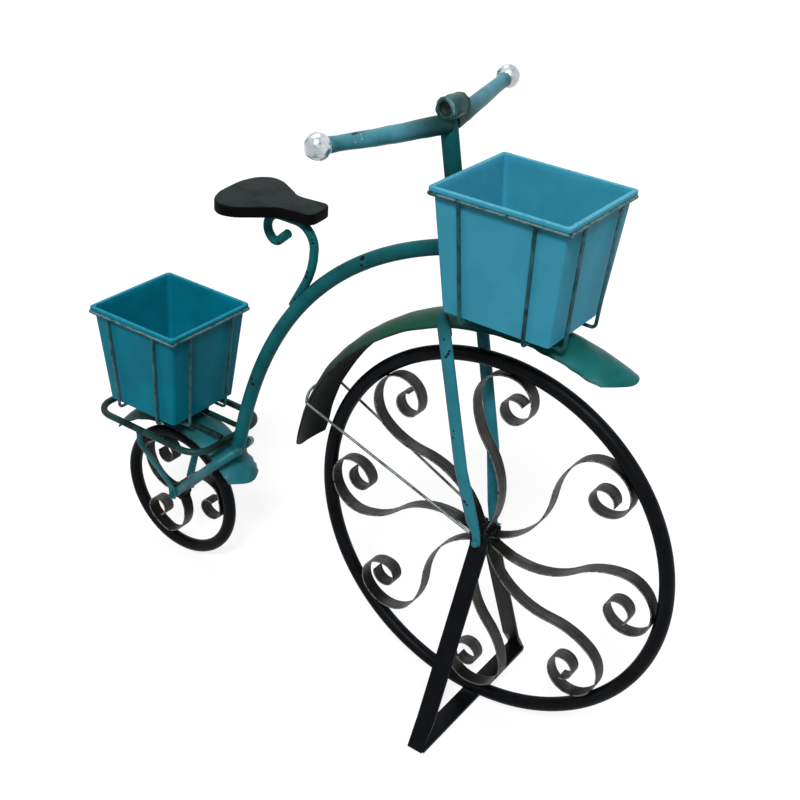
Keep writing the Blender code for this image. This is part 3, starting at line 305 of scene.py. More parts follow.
class Finishes:
    """Every finish of the plant stand, each material made once."""

    TEAL = Finish("teal_paint", Slot.TEAL, (0.006, 0.135, 0.154), (0.004, 0.088, 0.096),
                  (0.002, 0.050, 0.047), (0.003, 0.004, 0.005), drift_scale=9.0, stain_scale=18.0,
                  stain_cover=0.14, stain_softness=0.20, roughness=0.48, specular=0.08,
                  bare_spots=(
                      (-0.0182, -0.0077, 0.5960, 0.0040), (-0.0176, -0.0097, 0.5866, 0.0027),
                      (-0.0088, -0.0098, 0.5933, 0.0016), (-0.1908, -0.0097, 0.3535, 0.0030),
                      (-0.1917, -0.0098, 0.3612, 0.0024), (-0.1013, -0.0059, 0.5999, 0.0019),
                      (-0.0992, -0.0059, 0.5950, 0.0023), (-0.0975, -0.0058, 0.5900, 0.0022),
                      (-0.1063, -0.0059, 0.5417, 0.0024), (-0.1041, -0.0059, 0.5487, 0.0021),
                      (-0.1165, -0.0052, 0.5125, 0.0017), (-0.1232, -0.0058, 0.5041, 0.0017),
                      (-0.1540, -0.0055, 0.5737, 0.0024)))
    FORK = Finish("fork_paint", Slot.TEAL, (0.024, 0.225, 0.300), (0.015, 0.165, 0.215),
                  (0.004, 0.070, 0.068), (0.003, 0.004, 0.005), drift_scale=8.0, stain_scale=16.0,
                  stain_cover=0.06, stain_softness=0.20, roughness=0.42, specular=0.16,
                  bare_spots=(
                      (0.1365, -0.0454, 0.5286, 0.0024), (0.1380, -0.0446, 0.5325, 0.0024),
                      (0.1395, -0.0438, 0.5364, 0.0021), (0.1310, -0.0458, 0.5502, 0.0014),
                      (0.1562, -0.0441, 0.4338, 0.0019), (0.1563, -0.0438, 0.4238, 0.0019),
                      (0.1776, -0.0366, 0.3360, 0.0029), (0.1814, -0.0359, 0.3324, 0.0021)))
    STAYS = Finish("rear_stay_paint", Slot.TEAL, (0.014, 0.160, 0.200), (0.008, 0.110, 0.125),
                   (0.004, 0.058, 0.058), (0.003, 0.004, 0.005), drift_scale=12.0, stain_scale=22.0,
                   stain_cover=0.10, stain_softness=0.20, roughness=0.42, specular=0.18)
    BARS = Finish("handlebar_paint", Slot.TEAL, (0.075, 0.300, 0.380), (0.040, 0.215, 0.265),
                  (0.003, 0.036, 0.034), (0.003, 0.004, 0.005), drift_scale=11.0, stain_scale=20.0,
                  stain_cover=0.06, stain_softness=0.20, roughness=0.38, specular=0.2,
                  bare_spots=(
                      (0.0576, -0.1462, 0.8024, 0.0026), (0.0580, -0.1430, 0.8022, 0.0028),
                      (0.0584, -0.1395, 0.8021, 0.0024), (0.0590, -0.1350, 0.8022, 0.0016),
                      (0.0594, -0.1300, 0.8022, 0.0012)),
                  flecks=(
                      (0.0607, -0.1484, 0.8003, 0.0012), (0.0616, -0.1486, 0.7988, 0.0013),
                      (0.0624, -0.1487, 0.7974, 0.0013), (0.0628, -0.1478, 0.7960, 0.0012),
                      (0.0632, -0.1468, 0.7945, 0.0011), (0.0613, -0.1373, 0.8011, 0.0012),
                      (0.0627, -0.1381, 0.7996, 0.0013), (0.0640, -0.1389, 0.7980, 0.0013),
                      (0.0648, -0.1378, 0.7960, 0.0012), (0.0656, -0.1366, 0.7939, 0.0011),
                      (0.0584, -0.1680, 0.7962, 0.0013)))
    # The pots' chip colours show only as the painted highlight along the tops of their lips.
    POT = Finish("pot_paint", Slot.POT, (0.058, 0.372, 0.535), (0.044, 0.325, 0.466),
                 (0.030, 0.262, 0.365), (0.12, 0.44, 0.56), drift_scale=7.0, stain_scale=10.0,
                 stain_cover=0.10, stain_softness=0.22, chip_scale=160.0, roughness=0.50,
                 stain_roughness=0.55, specular=0.08, bump_scale=60.0, bump_depth=0.0002)
    REAR_POT = Finish("rear_pot_paint", Slot.POT, (0.001, 0.218, 0.315), (0.001, 0.170, 0.245),
                      (0.001, 0.120, 0.165), (0.01, 0.26, 0.36), drift_scale=7.0, stain_scale=10.0,
                      stain_cover=0.14, stain_softness=0.22, chip_scale=160.0, roughness=0.50,
                      stain_roughness=0.55, specular=0.08, bump_scale=60.0, bump_depth=0.0002)
    # The sleeve's chip colour shows only as the painted highlight on its near lip.
    SLEEVE = Finish("sleeve_paint", Slot.TEAL, (0.010, 0.098, 0.104), (0.006, 0.062, 0.060),
                    (0.0015, 0.014, 0.012), (0.10, 0.30, 0.32), drift_scale=30.0, stain_scale=40.0,
                    stain_cover=0.20, stain_softness=0.20, chip_scale=150.0, roughness=0.38, specular=0.35,
                    bump_scale=120.0, bump_depth=0.0008)
    GREEN = Finish("dark_green_paint", Slot.GREEN, (0.004, 0.052, 0.048), (0.003, 0.030, 0.022),
                   (0.0012, 0.0035, 0.0030), (0.10, 0.13, 0.13), drift_scale=18.0, stain_scale=26.0,
                   stain_cover=0.42, roughness=0.42, specular=0.18)
    # The wires' chip colour serves both their rubbed spots and the painted highlight along each hoop's top.
    WIRES = Finish("basket_wire_paint", Slot.GREEN, (0.010, 0.110, 0.135), (0.005, 0.062, 0.064),
                   (0.002, 0.014, 0.014), (0.17, 0.27, 0.28), drift_scale=30.0, stain_scale=45.0,
                   stain_cover=0.30, chip_scale=130.0, roughness=0.42, specular=0.2)
    FENDER = Finish("fender_paint", Slot.GREEN, (0.006, 0.148, 0.156), (0.005, 0.092, 0.078),
                    (0.0010, 0.0042, 0.0038), (0.001, 0.0015, 0.0015), drift_scale=10.0, stain_scale=15.0,
                    stain_cover=0.03, stain_softness=0.14, roughness=0.42, specular=0.12,
                    bump_scale=70.0, bump_depth=0.0008, halfway=(0.0035, 0.064, 0.036))
    BLACK = Finish("black_paint", Slot.BLACK, (0.0026, 0.0034, 0.0046), (0.0052, 0.0064, 0.0082),
                   (0.0014, 0.0018, 0.0024), (0.040, 0.045, 0.048), stain_cover=0.3,
                   chip_metallic=0.4, roughness=0.36, stain_roughness=0.46, specular=0.045,
                   bump_scale=240.0, bump_depth=0.0002)
    GUNMETAL = Finish("burnished_steel", Slot.GUNMETAL, (0.062, 0.066, 0.065), (0.026, 0.026, 0.022),
                      (0.0050, 0.0048, 0.0040), (0.19, 0.20, 0.19), drift_scale=20.0, stain_scale=90.0,
                      stain_cover=0.22, stain_softness=0.34, chip_scale=190.0,
                      roughness=0.46, stain_roughness=0.60, specular=0.2, metallic=0.80,
                      chip_metallic=0.95, bump_scale=260.0, bump_depth=0.0003, brushed=True)
    BARE = Finish("bare_steel", Slot.BARE, (0.66, 0.72, 0.75), (0.42, 0.47, 0.49), (0.05, 0.06, 0.065),
                  (0.008, 0.010, 0.012), drift_scale=60.0, stain_scale=80.0, stain_cover=0.18,
                  stain_softness=0.10, chip_scale=420.0, chip_cover=0.12, roughness=0.26,
                  stain_roughness=0.5, metallic=0.95, chip_metallic=0.2, bump_scale=130.0,
                  bump_depth=0.0007)
    WIRE = Finish("stay_wire_steel", Slot.BARE, (0.19, 0.215, 0.21), (0.09, 0.105, 0.10), (0.010, 0.022, 0.022),
                  (0.006, 0.010, 0.010), drift_scale=25.0, stain_scale=30.0, stain_cover=0.2,
                  roughness=0.36, metallic=0.8, chip_metallic=0.3)
    SADDLE = Finish("saddle_board", Slot.SADDLE, (0.0150, 0.0195, 0.0205), (0.0175, 0.0225, 0.0235),
                    (0.0010, 0.0012, 0.0012), (0.05, 0.05, 0.05), drift_scale=14.0, stain_scale=30.0,
                    stain_cover=0.0, stain_softness=0.22, roughness=0.62,
                    stain_roughness=0.7, specular=0.05, bump_scale=320.0, bump_depth=0.0002)
    RACK_STAYS = replace(STAYS, name="rack_stay_paint", slot=Slot.GREEN)

    _made: dict[str, bpy.types.Material] = {}

    @classmethod
    def material(cls, finish: Finish) -> bpy.types.Material:
        """The finish's one material."""
        if finish.name not in cls._made:
            cls._made[finish.name] = finish.build()
        return cls._made[finish.name]


def mesh_of(bm: bmesh.types.BMesh) -> bpy.types.Mesh:
    """Merge the doubles of a bmesh, turn its faces outwards and return its mesh."""
    bmesh.ops.remove_doubles(bm, verts=bm.verts, dist=0.00002)
    bmesh.ops.recalc_face_normals(bm, faces=bm.faces)
    mesh = bpy.data.meshes.new("mesh")
    bm.to_mesh(mesh)
    bm.free()
    return mesh


def add_piece(name: str, mesh: bpy.types.Mesh, finish: Finish, body: Body, nodes: Sequence[str] = (),
              wear_and_highlight: Optional[Callable[[Vector], float]] = None,
              soot_and_shade: Optional[Callable[[Vector], float]] = None) -> bpy.types.Object:
    """Put one dressed piece in the scene, riding on its body.

    Args:
        name: The piece's name.
        mesh: Its mesh, already in place.
        finish: What covers it.
        body: What it moves with.
        nodes: The nodes that it stands for.
        wear_and_highlight: How worn a place is, from 0 to 1, and where a painted highlight lies.
        soot_and_shade: How blackened a place is, from 0 to 1, by soot and dark paint, and by painted shade.

    Returns:
        The piece.
    """
    mesh.materials.clear()
    mesh.materials.append(Finishes.material(finish))
    for label, level in (("wear_and_highlight", wear_and_highlight), ("soot_and_shade", soot_and_shade)):
        if level:
            attribute = mesh.attributes.new(label, "FLOAT", "POINT")
            attribute.data.foreach_set("value", [level(v.co) for v in mesh.vertices])
    mesh.shade_smooth()
    mesh.set_sharp_from_angle(angle=SMOOTH_ANGLE)
    piece = bpy.data.objects.new(name, mesh)
    bpy.context.scene.collection.objects.link(piece)
    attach(piece, body.value)
    if nodes:
        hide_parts(*nodes)
    log.info("%s rides on %s, %d faces", name, body.value, len(mesh.polygons))
    return piece


def tube(points: Sequence[Vector], radius: float, shares: Optional[Sequence[float]] = None,
         closed: bool = False, roundness: int = 7) -> bpy.types.Mesh:
    """A round bar along a path, by a curve with a round bevel.

    Args:
        points: The path.
        radius: The bar's radius.
        shares: Shares of the radius at each point.
        closed: Whether the path runs into itself.
        roundness: Blender's bevel resolution.

    Returns:
        The bar's mesh, closed at its ends.
    """
    curve = bpy.data.curves.new("bar", "CURVE")
    curve.dimensions = "3D"
    curve.bevel_depth = radius
    curve.bevel_resolution = roundness
    curve.use_fill_caps = not closed
    spline = curve.splines.new("POLY")
    spline.points.add(len(points) - 1)
    spline.use_cyclic_u = closed
    for index, point in enumerate(points):
        spline.points[index].co = (*point, 1.0)
        spline.points[index].radius = shares[index] if shares else 1.0
    holder = bpy.data.objects.new("bar", curve)
    mesh = bpy.data.meshes.new_from_object(holder)
    bpy.data.objects.remove(holder)
    bpy.data.curves.remove(curve)
    bm = bmesh.new()
    bm.from_mesh(mesh)
    return mesh_of(bm)


def spun(profile: Sequence[tuple[float, float]], steps: int, centre: Vector) -> bpy.types.Mesh:
    """Spin a closed outline of (radius, y) round the Y axis through the centre."""
    bm = bmesh.new()
    loop = [bm.verts.new(centre + Vector((radius, y, 0.0))) for radius, y in profile]
    edges = [bm.edges.new((loop[i - 1], loop[i])) for i in range(len(loop))]
    bmesh.ops.spin(bm, geom=edges, cent=centre, axis=(0.0, 1.0, 0.0), angle=2 * pi, steps=steps,
                   use_merge=True)
    return mesh_of(bm)


def mark_run(mesh: bpy.types.Mesh, path: Sequence[Vector], across: Vector) -> None:
    """Give each point of a strip its place along and across, for brush marks that follow it.

    Args:
        mesh: The strip's mesh.
        path: The strip's middle line.
        across: The direction of its width.
    """
    length, runs = 0.0, [0.0]
    for here, there in zip(path, path[1:]):
        length += (there - here).length
        runs.append(length)
    flat = [point - across * point.dot(across) for point in path]
    tree = KDTree(len(flat))
    for index, point in enumerate(flat):
        tree.insert(point, index)
    tree.balance()
    marks = []
    for vertex in mesh.vertices:
        side = vertex.co.dot(across)
        marks += [runs[tree.find(vertex.co - across * side)[1]], side, 0.0]
    mesh.attributes.new("run", "FLOAT_VECTOR", "POINT").data.foreach_set("vector", marks)


def strip(points: Sequence[Vector], width: Vector, thickness: float, edge: float) -> bpy.types.Mesh:
    """A flat bar: a path pulled out sideways, thickened, with its long edges rounded.

    Args:
        points: The path along the middle.
        width: The bar's whole width, as a vector.
        thickness: Its thickness.
        edge: The rounding of its edges.

    Returns:
        The bar's mesh.
    """
    bm = bmesh.new()
    path = [bm.verts.new(point - width / 2) for point in points]
    edges = [bm.edges.new(pair) for pair in zip(path, path[1:])]
    for here, there in zip(STRIP_ROWS, STRIP_ROWS[1:]):
        pulled = bmesh.ops.extrude_edge_only(bm, edges=edges)["geom"]
        moved = {v for v in pulled if isinstance(v, bmesh.types.BMVert)}
        bmesh.ops.translate(bm, verts=list(moved), vec=width * (there - here))
        edges = [e for e in pulled if isinstance(e, bmesh.types.BMEdge) and moved.issuperset(e.verts)]
    sheet = bpy.data.meshes.new("strip")
    bm.to_mesh(sheet)
    bm.free()
    holder = bpy.data.objects.new("strip", sheet)
    bpy.context.scene.collection.objects.link(holder)
    thicken = holder.modifiers.new("thickness", "SOLIDIFY")
    thicken.thickness = thickness
    thicken.offset = 0.0
    thicken.use_even_offset = True
    rounding = holder.modifiers.new("edge", "BEVEL")
    rounding.width = edge
    rounding.segments = 2
    rounding.limit_method = "ANGLE"
    rounding.angle_limit = radians(50)
    mesh = bpy.data.meshes.new_from_object(holder.evaluated_get(bpy.context.evaluated_depsgraph_get()))
    bpy.data.objects.remove(holder)
    return mesh


def uneven(mesh: bpy.types.Mesh, patch: float, depth: float, keep: Optional[Callable[[Vector], bool]] = None
           ) -> bpy.types.Mesh:
    """Dent a mesh a little inwards, as hand-worked steel is.

    Args:
        mesh: The mesh to dent.
        patch: The size of one dent.
        depth: The deepest dent.
        keep: Says where the mesh stays as it is.

    Returns:
        The same mesh.
    """
    normals = [v.normal.copy() for v in mesh.vertices]
    for vertex, normal in zip(mesh.vertices, normals):
        if keep and keep(vertex.co):
            continue
        level = noise.noise(vertex.co / patch)
        vertex.co -= normal * depth * max(0.0, 0.5 + level)
    mesh.update()
    return mesh


def filleted(corners: Sequence[Vector], radius: float, steps: int = 8, closed: bool = False) -> list[Vector]:
    """A path through the corners, each rounded by an arc of the radius."""
    path = []
    count = len(corners)
    for index, corner in enumerate(corners):
        if not closed and index in (0, count - 1):
            path.append(corner.copy())
            continue
        back = (corners[index - 1] - corner).normalized()
        ahead = (corners[(index + 1) % count] - corner).normalized()
        turn = pi - back.angle(ahead)
        run = radius * sin(turn / 2) / cos(turn / 2)
        pull = 4 / 3 * radius * sin(turn / 4) / cos(turn / 4)
        start, end = corner + back * run, corner + ahead * run
        path += interpolate_bezier(start, start - back * pull, end - ahead * pull, end, steps + 1)
    return path


def arc_chain(start: Sequence[float], heading: float, radii: Sequence[float], turns: Sequence[float],
              legs: Optional[Sequence[float]] = None, step_angle: float = radians(6)
              ) -> list[tuple[float, float]]:
    """Follow straight legs and arcs that run into each other, in a flat plane.

    Args:
        start: The first point.
        heading: The first direction, as an angle.
        radii: The arcs' radii.
        turns: The arcs' angles, positive to the left.
        legs: The straight stretch before each arc.
        step_angle: The turn between two points.

    Returns:
        The points of the chain.
    """
    place = list(start)
    path = [tuple(place)]
    for index, (radius, turn) in enumerate(zip(radii, turns)):
        leg = legs[index] if legs else 0.0
        if leg:
            place = [place[0] + leg * cos(heading), place[1] + leg * sin(heading)]
            path.append(tuple(place))
        if not turn:
            continue
        side = 1 if turn > 0 else -1
        centre = (place[0] - side * radius * sin(heading), place[1] + side * radius * cos(heading))
        steps = max(2, round(abs(turn) / step_angle))
        for step in range(1, steps + 1):
            angle = heading + turn * step / steps
            place = [centre[0] + side * radius * sin(angle), centre[1] - side * radius * cos(angle)]
            path.append(tuple(place))
        heading += turn
    return path


def lump(bm: bmesh.types.BMesh, place: Vector, size: Vector, seed: float) -> None:
    """Add one lumpy bead of weld to a bmesh.

    Args:
        bm: The bmesh that collects the beads.
        place: The bead's middle.
        size: Its half sizes.
        seed: Shifts the noise that makes it lumpy.
    """
    made = bmesh.ops.create_icosphere(bm, subdivisions=2, radius=1.0)["verts"]
    for vertex in made:
        swell = 1 + 0.22 * noise.noise(vertex.co * 1.7 + Vector((seed, seed * 0.3, -seed)))
        vertex.co = place + Vector(c * s for c, s in zip(vertex.co * swell, size))


def bead_ring(bm: bmesh.types.BMesh, centre: Vector, axis: Vector, radius: float, size: float,
              count: int, seed: float) -> None:
    """A ring of weld beads round a tube's foot.

    Args:
        bm: The bmesh that collects the beads.
        centre: The ring's middle.
        axis: The tube's direction.
        radius: The ring's radius.
        size: Half a bead's size.
        count: How many beads.
        seed: Shifts their noise.
    """
    side = axis.orthogonal().normalized()
    for index in range(count):
        spoke = Matrix.Rotation(2 * pi * index / count, 3, axis) @ side
        lump(bm, centre + spoke * radius, Vector((size, size, size)) * (1 + 0.15 * sin(seed + 5 * index)),
             seed + index)


@dataclass
class Wheel:
    """One wheel: a black tube rim, its hub and the ring of scroll spokes bent from flat strip."""

    end: str
    axle: Vector
    radius: float
    angles: tuple[float, ...]
    start: tuple[float, float]
    heading: float
    arcs: tuple[float, ...]
    turns: tuple[float, ...]
    hub_half: float
    body: Body
    cad_rim_steps: int
    tube_radius: float = 0.0095
    hub_radius: float = 0.012
    strip_width: float = 0.020
    strip_thickness: float = 0.002
    bore_radius: float = 0.0033
    root_weld: float = 0.0055
    darkening_run: float = 0.036
    rim_soot_run: float = 0.018

    def reach(self) -> float:
        """How far out the middle of a spoke's strip may lie."""
        inner = (self.radius - self.tube_radius) * cos(pi / self.cad_rim_steps)
        return inner - FIT_GAP - self.strip_thickness / 2

    def rim(self) -> bpy.types.Mesh:
        """The rim's tube, without facets to the eye."""
        sides = 28
        circle = [2 * pi * i / sides for i in range(sides)]
        outline = [(self.radius + self.tube_radius * cos(a), self.tube_radius * sin(a)) for a in circle]
        return spun(outline, 176 if self.radius > 0.2 else 104, self.axle)

    def hub(self) -> bpy.types.Mesh:
        """The hub's short sleeve, with a groove beside each end."""
        half, radius, groove = self.hub_half, self.hub_radius, 0.0007
        outline = [(self.bore_radius, -half), (radius - 0.002, -half), (radius, 0.002 - half),
                   (radius, 0.0036 - half), (radius - groove, 0.0042 - half), (radius - groove, half - 0.0042),
                   (radius, half - 0.0036), (radius, half - 0.002), (radius - 0.002, half),
                   (self.bore_radius, half)]
        return spun(outline, 48, self.axle)

    def spoke_path(self, angle: float) -> list[Vector]:
        """The middle line of one scroll, from the hub round into its eye."""
        outline = arc_chain(self.start, self.heading, self.arcs, self.turns)
        scale = self.reach() / max(hypot(a, b) for a, b in outline)
        outward = Vector((cos(angle), 0.0, sin(angle)))
        clockwise = Vector((sin(angle), 0.0, -cos(angle)))
        hub_start = self.hub_radius + 2 * FIT_GAP
        inner = hypot(*outline[0]) * scale
        points = []
        for out, across in outline:
            distance = hypot(out, across) * scale
            grown = hub_start + (distance - inner) * (self.reach() - hub_start) / (self.reach() - inner)
            points.append(self.axle + (outward * out + clockwise * across) * scale * grown / distance)
        return points

    def spoke(self, angle: float) -> bpy.types.Mesh:
        """One scroll spoke, its strip a little uneven in width where the hammer drew it out."""
        path = self.spoke_path(angle)
        mesh = strip(path, Vector((0.0, self.strip_width, 0.0)), self.strip_thickness, 0.0005)
        for vertex in mesh.vertices:
            away = vertex.co - self.axle
            ripple = noise.noise(Vector((away.x, 0.0, away.z)) / 0.012 + Vector((angle, 0.0, 0.0)))
            vertex.co.y = self.axle.y + away.y * (0.985 + 0.03 * min(0.5, ripple))
        mesh.update()
        mark_run(mesh, path, Vector((0.0, 1.0, 0.0)))
        return mesh

    def welds(self) -> bpy.types.Mesh:
        """The black weld beads where each scroll meets the hub and the rim."""
        bm = bmesh.new()
        for index, angle in enumerate(self.angles):
            path = self.spoke_path(angle)
            root = path[0]
            outermost = max(path, key=lambda point: (point - self.axle).length)
            out = (outermost - self.axle).normalized()
            along = Vector((-out.z, 0.0, out.x))
            for share in (-0.7, -0.25, 0.25, 0.7):
                y = share * self.strip_width / 2
                lump(bm, root.lerp(self.axle, 0.10) + Vector((0.0, y, 0.0)),
                     Vector((self.root_weld, 0.0030, self.root_weld)), index + share)
            for share in (-0.5, 0.0, 0.5):
                spot = outermost + out * 0.0002 + along * 0.004 * share
                lump(bm, spot + Vector((0.0, 0.0066 * share, 0.0)), Vector((0.0019, 0.0026, 0.0019)),
                     index * 3 + share)
        return mesh_of(bm)

    def hub_soot(self, place: Vector) -> float:
        """The welding heat blackened the strips towards the hub and where they touch the rim."""
        reach = hypot(place.x - self.axle.x, place.z - self.axle.z)
        at_hub = 1 - max(0.0, reach - 0.022) / self.darkening_run
        at_rim = 0.85 - (self.reach() - reach) / self.rim_soot_run
        return max(0.0, at_hub, at_rim)

    def edge_wear(self, place: Vector) -> float:
        """Bright rubbed edges along the strip."""
        return 0.8 if abs(place.y - self.axle.y) > self.strip_width * 0.46 else 0.0

    def dress(self) -> None:
        """Build and finish the wheel."""
        add_piece(f"{self.end}_rim_tube", self.rim(), Finishes.BLACK, self.body, [f"{self.end}_rim"])
        add_piece(f"{self.end}_hub_sleeve", self.hub(), Finishes.BLACK, self.body, [f"{self.end}_hub"])
        for number, angle in enumerate(self.angles, 1):
            add_piece(f"{self.end}_scroll_spoke_{number}", self.spoke(angle), Finishes.GUNMETAL, self.body,
                      [f"{self.end}_scroll_{number}"], self.edge_wear, self.hub_soot)
        add_piece(f"{self.end}_wheel_welds", self.welds(), Finishes.BLACK, self.body)


@dataclass
class Fender:
    """A gutter of hammered sheet over a wheel, flared to the front."""

    end: str
    axle: Vector
    radius: float
    half_width: float
    depth: float
    flare_share: float
    flare_start: float
    front: float
    back: float
    finish: Finish
    darkening_from: float = pi
    darkening_run: float = radians(106)
    flare_power: float = 1.3
    tip_run_share: float = 0.07
    tip_width_share: float = 0.76
    tip_depth_share: float = 0.55
    sheet: float = 0.0015
    along_steps: int = 150
    across_steps: int = 26
    hammer: float = 0.0011

    def tip(self, angle: float, end_share: float) -> float:
        """1 along the fender, falling to the end's share round each tip."""
        along = (angle - self.front) / (self.back - self.front)
        left = min(along, 1 - along) / self.tip_run_share
        return 1.0 if left >= 1 else end_share + (1 - end_share) * max(0.0, 1 - (1 - left) ** 2) ** 0.5

    def place(self, angle: float, share: float, lift: float = 0.0) -> Vector:
        """A point on the outside, from -1 on the right edge to 1 on the left one."""
        flare = max(0.0, (self.flare_start - angle) / (self.flare_start - self.front))
        crown = self.radius * (1 + self.flare_share * flare ** self.flare_power)
        radius = crown - self.depth * self.tip(angle, self.tip_depth_share) * share ** 2 + lift
        across = self.half_width * self.tip(angle, self.tip_width_share) * share
        return self.axle + Vector((radius * cos(angle), across, radius * sin(angle)))

    def gutter(self) -> bpy.types.Mesh:
        """The sheet, wavy along its edges, laid inside the smooth net and thickened."""
        bm = bmesh.new()
        bmesh.ops.create_grid(bm, x_segments=self.along_steps, y_segments=self.across_steps, size=1.0)
        for vertex in bm.verts:
            turn = (1 - cos(pi * (vertex.co.x + 1) / 2)) / 2
            angle = self.front + (self.back - self.front) * turn
            share = vertex.co.y
            end = max(0.0, 1 - turn / 0.12) - max(0.0, 1 - (1 - turn) / 0.12)
            angle += end * radians(4.4 if share < 0 else 2.4) * share ** 2
            dent = noise.noise(Vector((angle * 9, share * 1.4, 0.0)))
            wave = noise.noise(Vector((angle * 22, 3.0 if share > 0 else 8.0, 0.0))) * abs(share) ** 5
            ahead = max(0.0, 1 - turn / 0.36)
            lift = -self.hammer * max(0.0, 0.5 + dent)
            lift -= 2.6 * self.hammer * max(0.0, 0.4 + wave) * share ** 4 * ahead
            nibble = max(0.0, 0.25 + noise.noise(Vector((angle * 13, 5.0 if share > 0 else 1.0, 0.0))))
            vertex.co = self.place(angle, share, lift)
            vertex.co.y *= 1 - 0.16 * nibble * ahead * share ** 4
        mesh = bpy.data.meshes.new("gutter")
        bmesh.ops.recalc_face_normals(bm, faces=bm.faces)
        outward = sum(1 if f.normal.dot(f.calc_center_median() - self.axle) > 0 else -1 for f in bm.faces)
        if outward < 0:
            bmesh.ops.reverse_faces(bm, faces=bm.faces)
        bm.to_mesh(mesh)
        bm.free()
        holder = bpy.data.objects.new("gutter", mesh)
        bpy.context.scene.collection.objects.link(holder)
        thicken = holder.modifiers.new("thickness", "SOLIDIFY")
        thicken.thickness = self.sheet
        thicken.offset = -1.0
        solid = bpy.data.meshes.new_from_object(holder.evaluated_get(bpy.context.evaluated_depsgraph_get()))
        bpy.data.objects.remove(holder)
        return solid

    def edge_wear(self, place: Vector) -> float:
        """The paint is rubbed along both edges and at the tips."""
        away = place - self.axle
        angle = atan2(away.z, away.x)
        if angle < 0:
            angle += 2 * pi
        width = self.half_width * self.tip(min(max(angle, self.front), self.back), self.tip_width_share)
        return 0.8 if abs(away.y) > width * 0.96 else 0.0

    def back_darkening_and_shade(self, place: Vector) -> float:
        """The sheet is blacker towards its back and underneath: on the rear fender this is painted shade
        under the rear pot, on the front one painted shade under the front pot over the crown and darker
        paint further back.
        """
        away = place - self.axle
        angle = atan2(away.z, away.x) % (2 * pi)
        return min(1.0, max(0.0, (angle - self.darkening_from) / self.darkening_run))

    def dress(self) -> None:
        """Build and finish the fender."""
        add_piece(f"{self.end}_fender_sheet", self.gutter(), self.finish, Body.FRAME, [f"{self.end}_fender"],
                  self.edge_wear, self.back_darkening_and_shade)


@dataclass
class Fork:
    """Two oval legs from the front fender down to the axle."""

    top_reach: float = 0.3168
    knee_reach: float = 0.110
    width: float = 0.0175
    thickness: float = 0.011
    flank: float = 0.035
    narrowing: float = 0.003
    knee_bend: float = 0.040
    eye_run: float = 0.034
    eye_share: float = 0.62
    eye_y: float = 0.0212
    eye_flat: float = 0.013
    eye_thickness: float = 0.0062
    eye_end: float = 0.0060
    weld_reach: float = 0.289

    def top_darkening(self, place: Vector) -> float:
        """The legs darken to green towards their tops."""
        return 0.55 * min(1.0, max(0.0, ((place - FRONT_AXLE).length - self.top_reach + 0.055) / 0.05))

    def leg(self, side: int) -> bpy.types.Mesh:
        """One leg, rounded at its top and pressed flat round the bolt."""
        top_y = self.flank + FIT_GAP + self.thickness / 2
        squash = self.thickness / self.width
        top = FRONT_AXLE + FORK_LINE * self.top_reach + Vector((0.0, side * top_y, 0.0))
        knee = FRONT_AXLE + FORK_LINE * self.knee_reach + Vector((0.0, side * (top_y - self.narrowing), 0.0))
        eye = FRONT_AXLE + Vector((0.0, side * self.eye_y, 0.0))
        neck = eye + (knee - eye).normalized() * self.eye_run
        bend = filleted([top, knee, neck], self.knee_bend, steps=12)
        half = self.width / 2
        cap = [(1 - cos(pi / 2 * i / 7)) for i in range(8)]
        round_top = [top - FORK_LINE * half * share for share in cap]
        round_shares = [max(0.08, (1 - (1 - share) ** 2) ** 0.5) for share in cap]
        straight = [round_top[-1].lerp(bend[1], i / 14) for i in range(1, 14)]
        path = round_top + straight + bend[1:] + [eye + FORK_LINE * self.eye_flat, eye,
                                                   eye - FORK_LINE * self.eye_end * 0.7,
                                                   eye - FORK_LINE * self.eye_end]
        shares = round_shares + [1.0] * (len(straight) + len(bend) - 1)
        shares += [self.eye_share * share for share in (1.18, 1.0, 0.86, 0.50)]
        wide = [Vector((p.x, p.y / squash, p.z)) for p in path]
        mesh = tube(wide, half, shares, roundness=9)
        mesh.transform(Matrix.Diagonal((1.0, squash, 1.0, 1.0)))
        flatten(mesh, eye, self.eye_flat, self.eye_thickness, self.thickness * self.eye_share)
        return mesh

    def dress(self) -> None:
        """Build and finish both legs, with the weld where each meets the fender."""
        beads = bmesh.new()
        for name, side in SIDES:
            add_piece(f"fork_leg_{name}_tube", self.leg(side), Finishes.FORK, Body.FRAME, [f"fork_leg_{name}"],
                      soot_and_shade=self.top_darkening)
            for index in range(6):
                reach = self.weld_reach + 0.0026 * index
                for edge in (-1, 1):
                    spot = FRONT_AXLE + FORK_LINE * reach + Vector((edge * 0.0062, side * 0.0364, 0.0))
                    lump(beads, spot, Vector((0.0021, 0.0014, 0.0021)), index + edge + side)
        add_piece("fork_welds", mesh_of(beads), Finishes.GREEN, Body.FRAME)


def flatten(mesh: bpy.types.Mesh, centre: Vector, reach: float, thickness: float, full: float) -> None:
    """Press the end of a bar flat in Y round a bolt."""
    for vertex in mesh.vertices:
        away = max(0.0, (vertex.co - centre).length / reach - 1)
        share = thickness / full + (1 - thickness / full) * min(1.0, away)
        if away < 1:
            vertex.co.y = centre.y + (vertex.co.y - centre.y) * share
    mesh.update()


